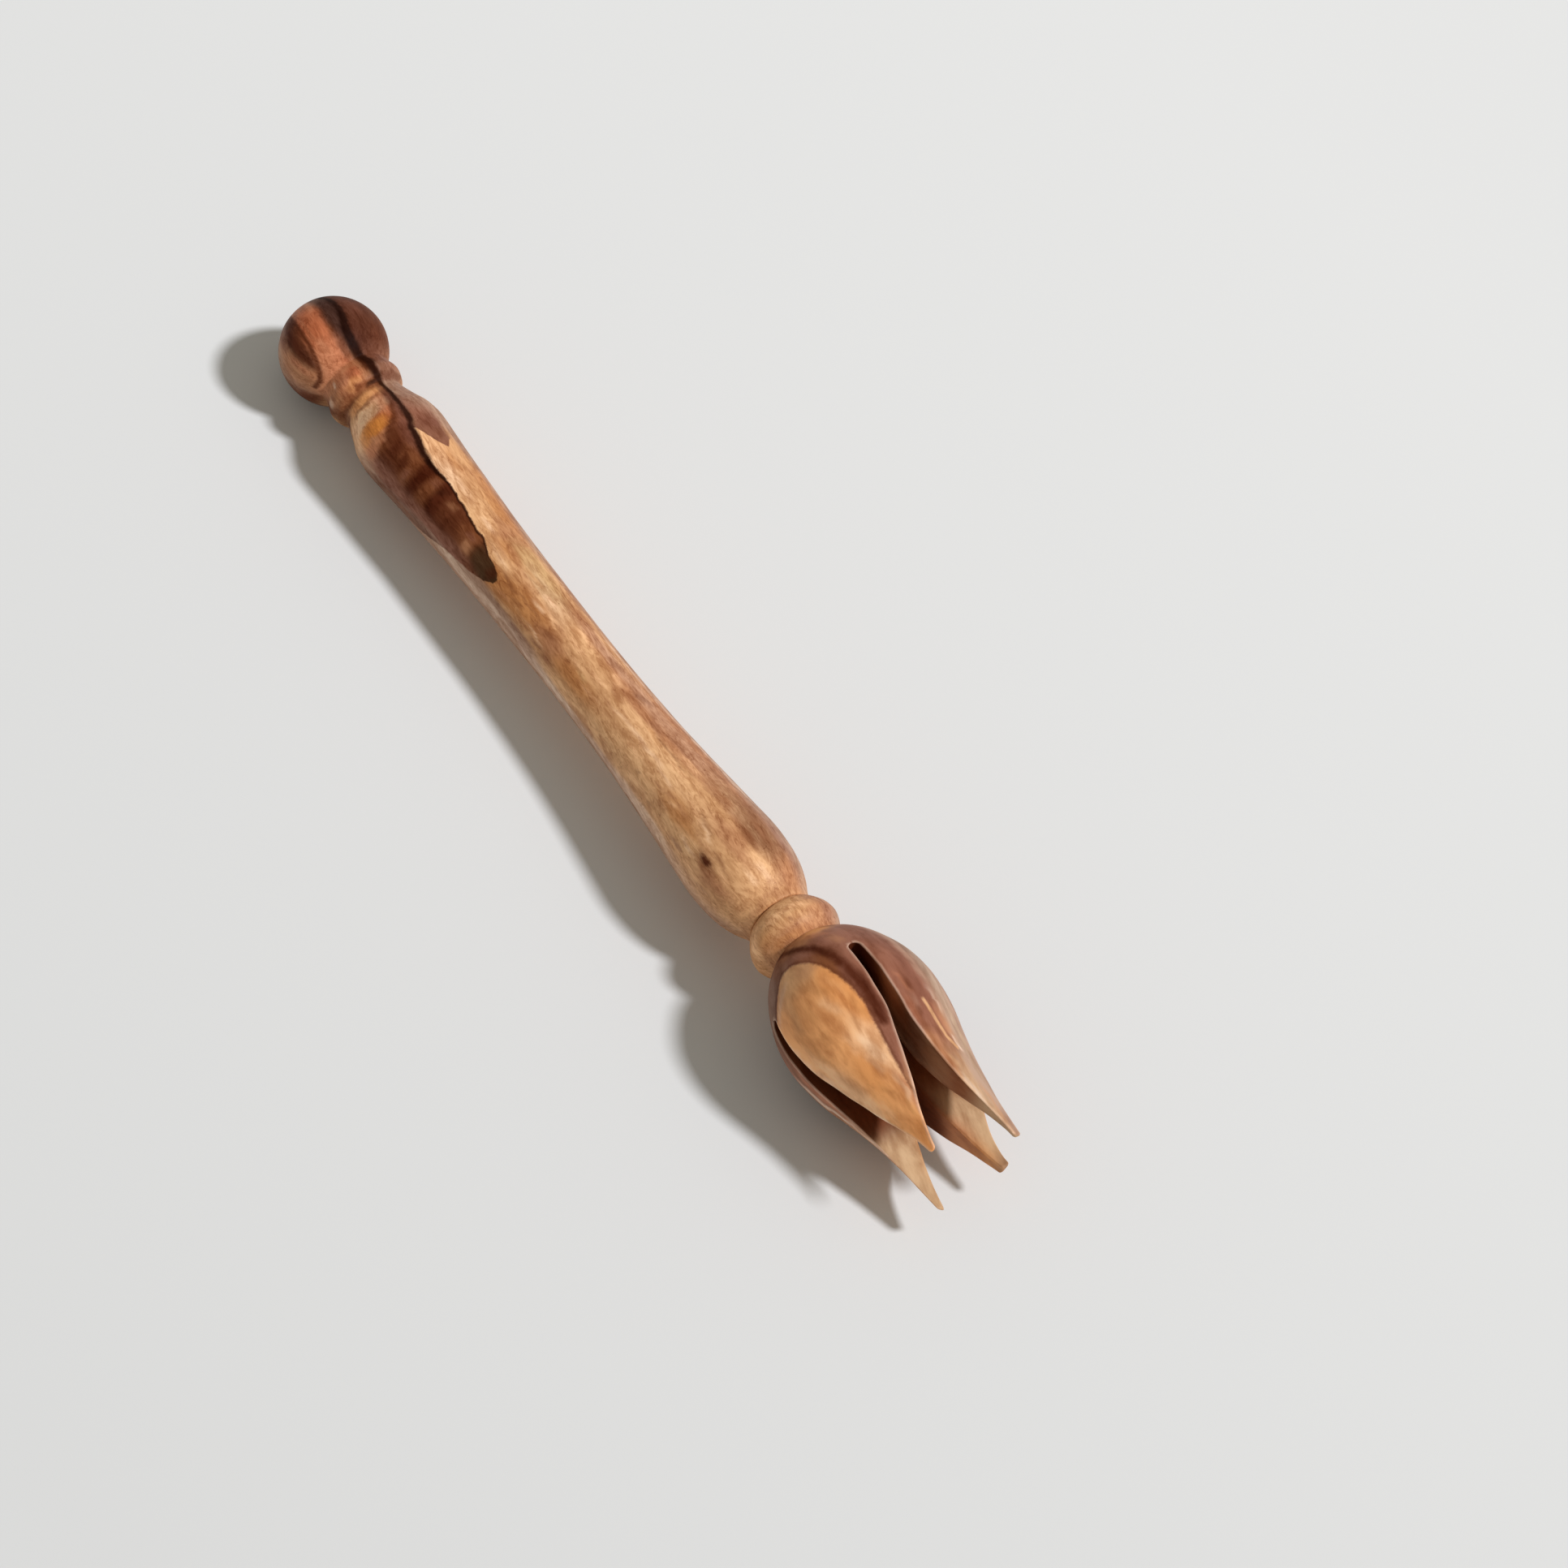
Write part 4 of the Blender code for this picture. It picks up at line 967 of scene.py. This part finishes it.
# plain paper, painted a little darker towards the near left, away from the key light: painted falloff of its
# light
paper = Graph("floor_paper")
spot = paper.node("TexCoord", {}, "Object")
across = paper.node("VectorMath", {0: spot, 1: (-0.12, 1.0, 0.0)}, "Value", operation="DOT_PRODUCT")
paper.put(paper.shader["Base Color"],
          paper.mix(1.0, FLOOR_COLOUR, paper.ramp(across, -0.2, 0.2, 0.88, 1.0, "LINEAR"), "MULTIPLY"))
paper.put(paper.shader["Roughness"], 0.9)
floor_mesh.materials.append(paper.material)

# ---------------------------------------------------------------- light
SUN_DIRECTION = Vector((0.474, 0.441, 0.762))
world = bpy.data.worlds.new("studio")
bpy.context.scene.world = world
world.use_nodes = True
world.node_tree.nodes["Background"].inputs["Color"].default_value = (1.0, 0.966, 0.858, 1)
world.node_tree.nodes["Background"].inputs["Strength"].default_value = 0.319
sun_data = bpy.data.lights.new("key", "SUN")
sun_data.energy = 2.87
sun_data.angle = math.radians(7)
sun_data.color = (0.944, 0.960, 1.0)
sun = add_object("key", sun_data)
sun.rotation_mode = "QUATERNION"
sun.rotation_quaternion = SUN_DIRECTION.to_track_quat("Z", "Y")

# ---------------------------------------------------------------- camera
AZIMUTH, ELEVATION, ROLL = (math.radians(v) for v in (56.249, 54.467, 1.811))
LENS, DISTANCE = 1200.0, 10.3212
AIM_HEIGHT, SHIFT_RIGHT, SHIFT_DOWN = 0.017, 0.02827, 0.00957     # where the camera aims, metres
back = Vector((math.sin(AZIMUTH) * math.cos(ELEVATION), -math.cos(AZIMUTH) * math.cos(ELEVATION),
               math.sin(ELEVATION)))
level = Vector((0, 0, 1)).cross(back).normalized()
right = level * math.cos(ROLL) + back.cross(level) * math.sin(ROLL)
upward = back.cross(right)
middle = Vector(((CAD_BOX[0].x + CAD_BOX[1].x) / 2, 0, AIM_HEIGHT))
camera_data = bpy.data.cameras.new("camera")
camera_data.lens, camera_data.sensor_width = LENS, 36.0
camera_data.clip_start, camera_data.clip_end = 0.1, 100.0
camera = add_object("camera", camera_data)
camera.rotation_mode = "QUATERNION"
camera.rotation_quaternion = Matrix((right, upward, back)).transposed().to_quaternion()
camera.location = middle + right * SHIFT_RIGHT - upward * SHIFT_DOWN + back * DISTANCE
bpy.context.scene.camera = camera
bpy.context.scene.view_settings.view_transform = "Standard"
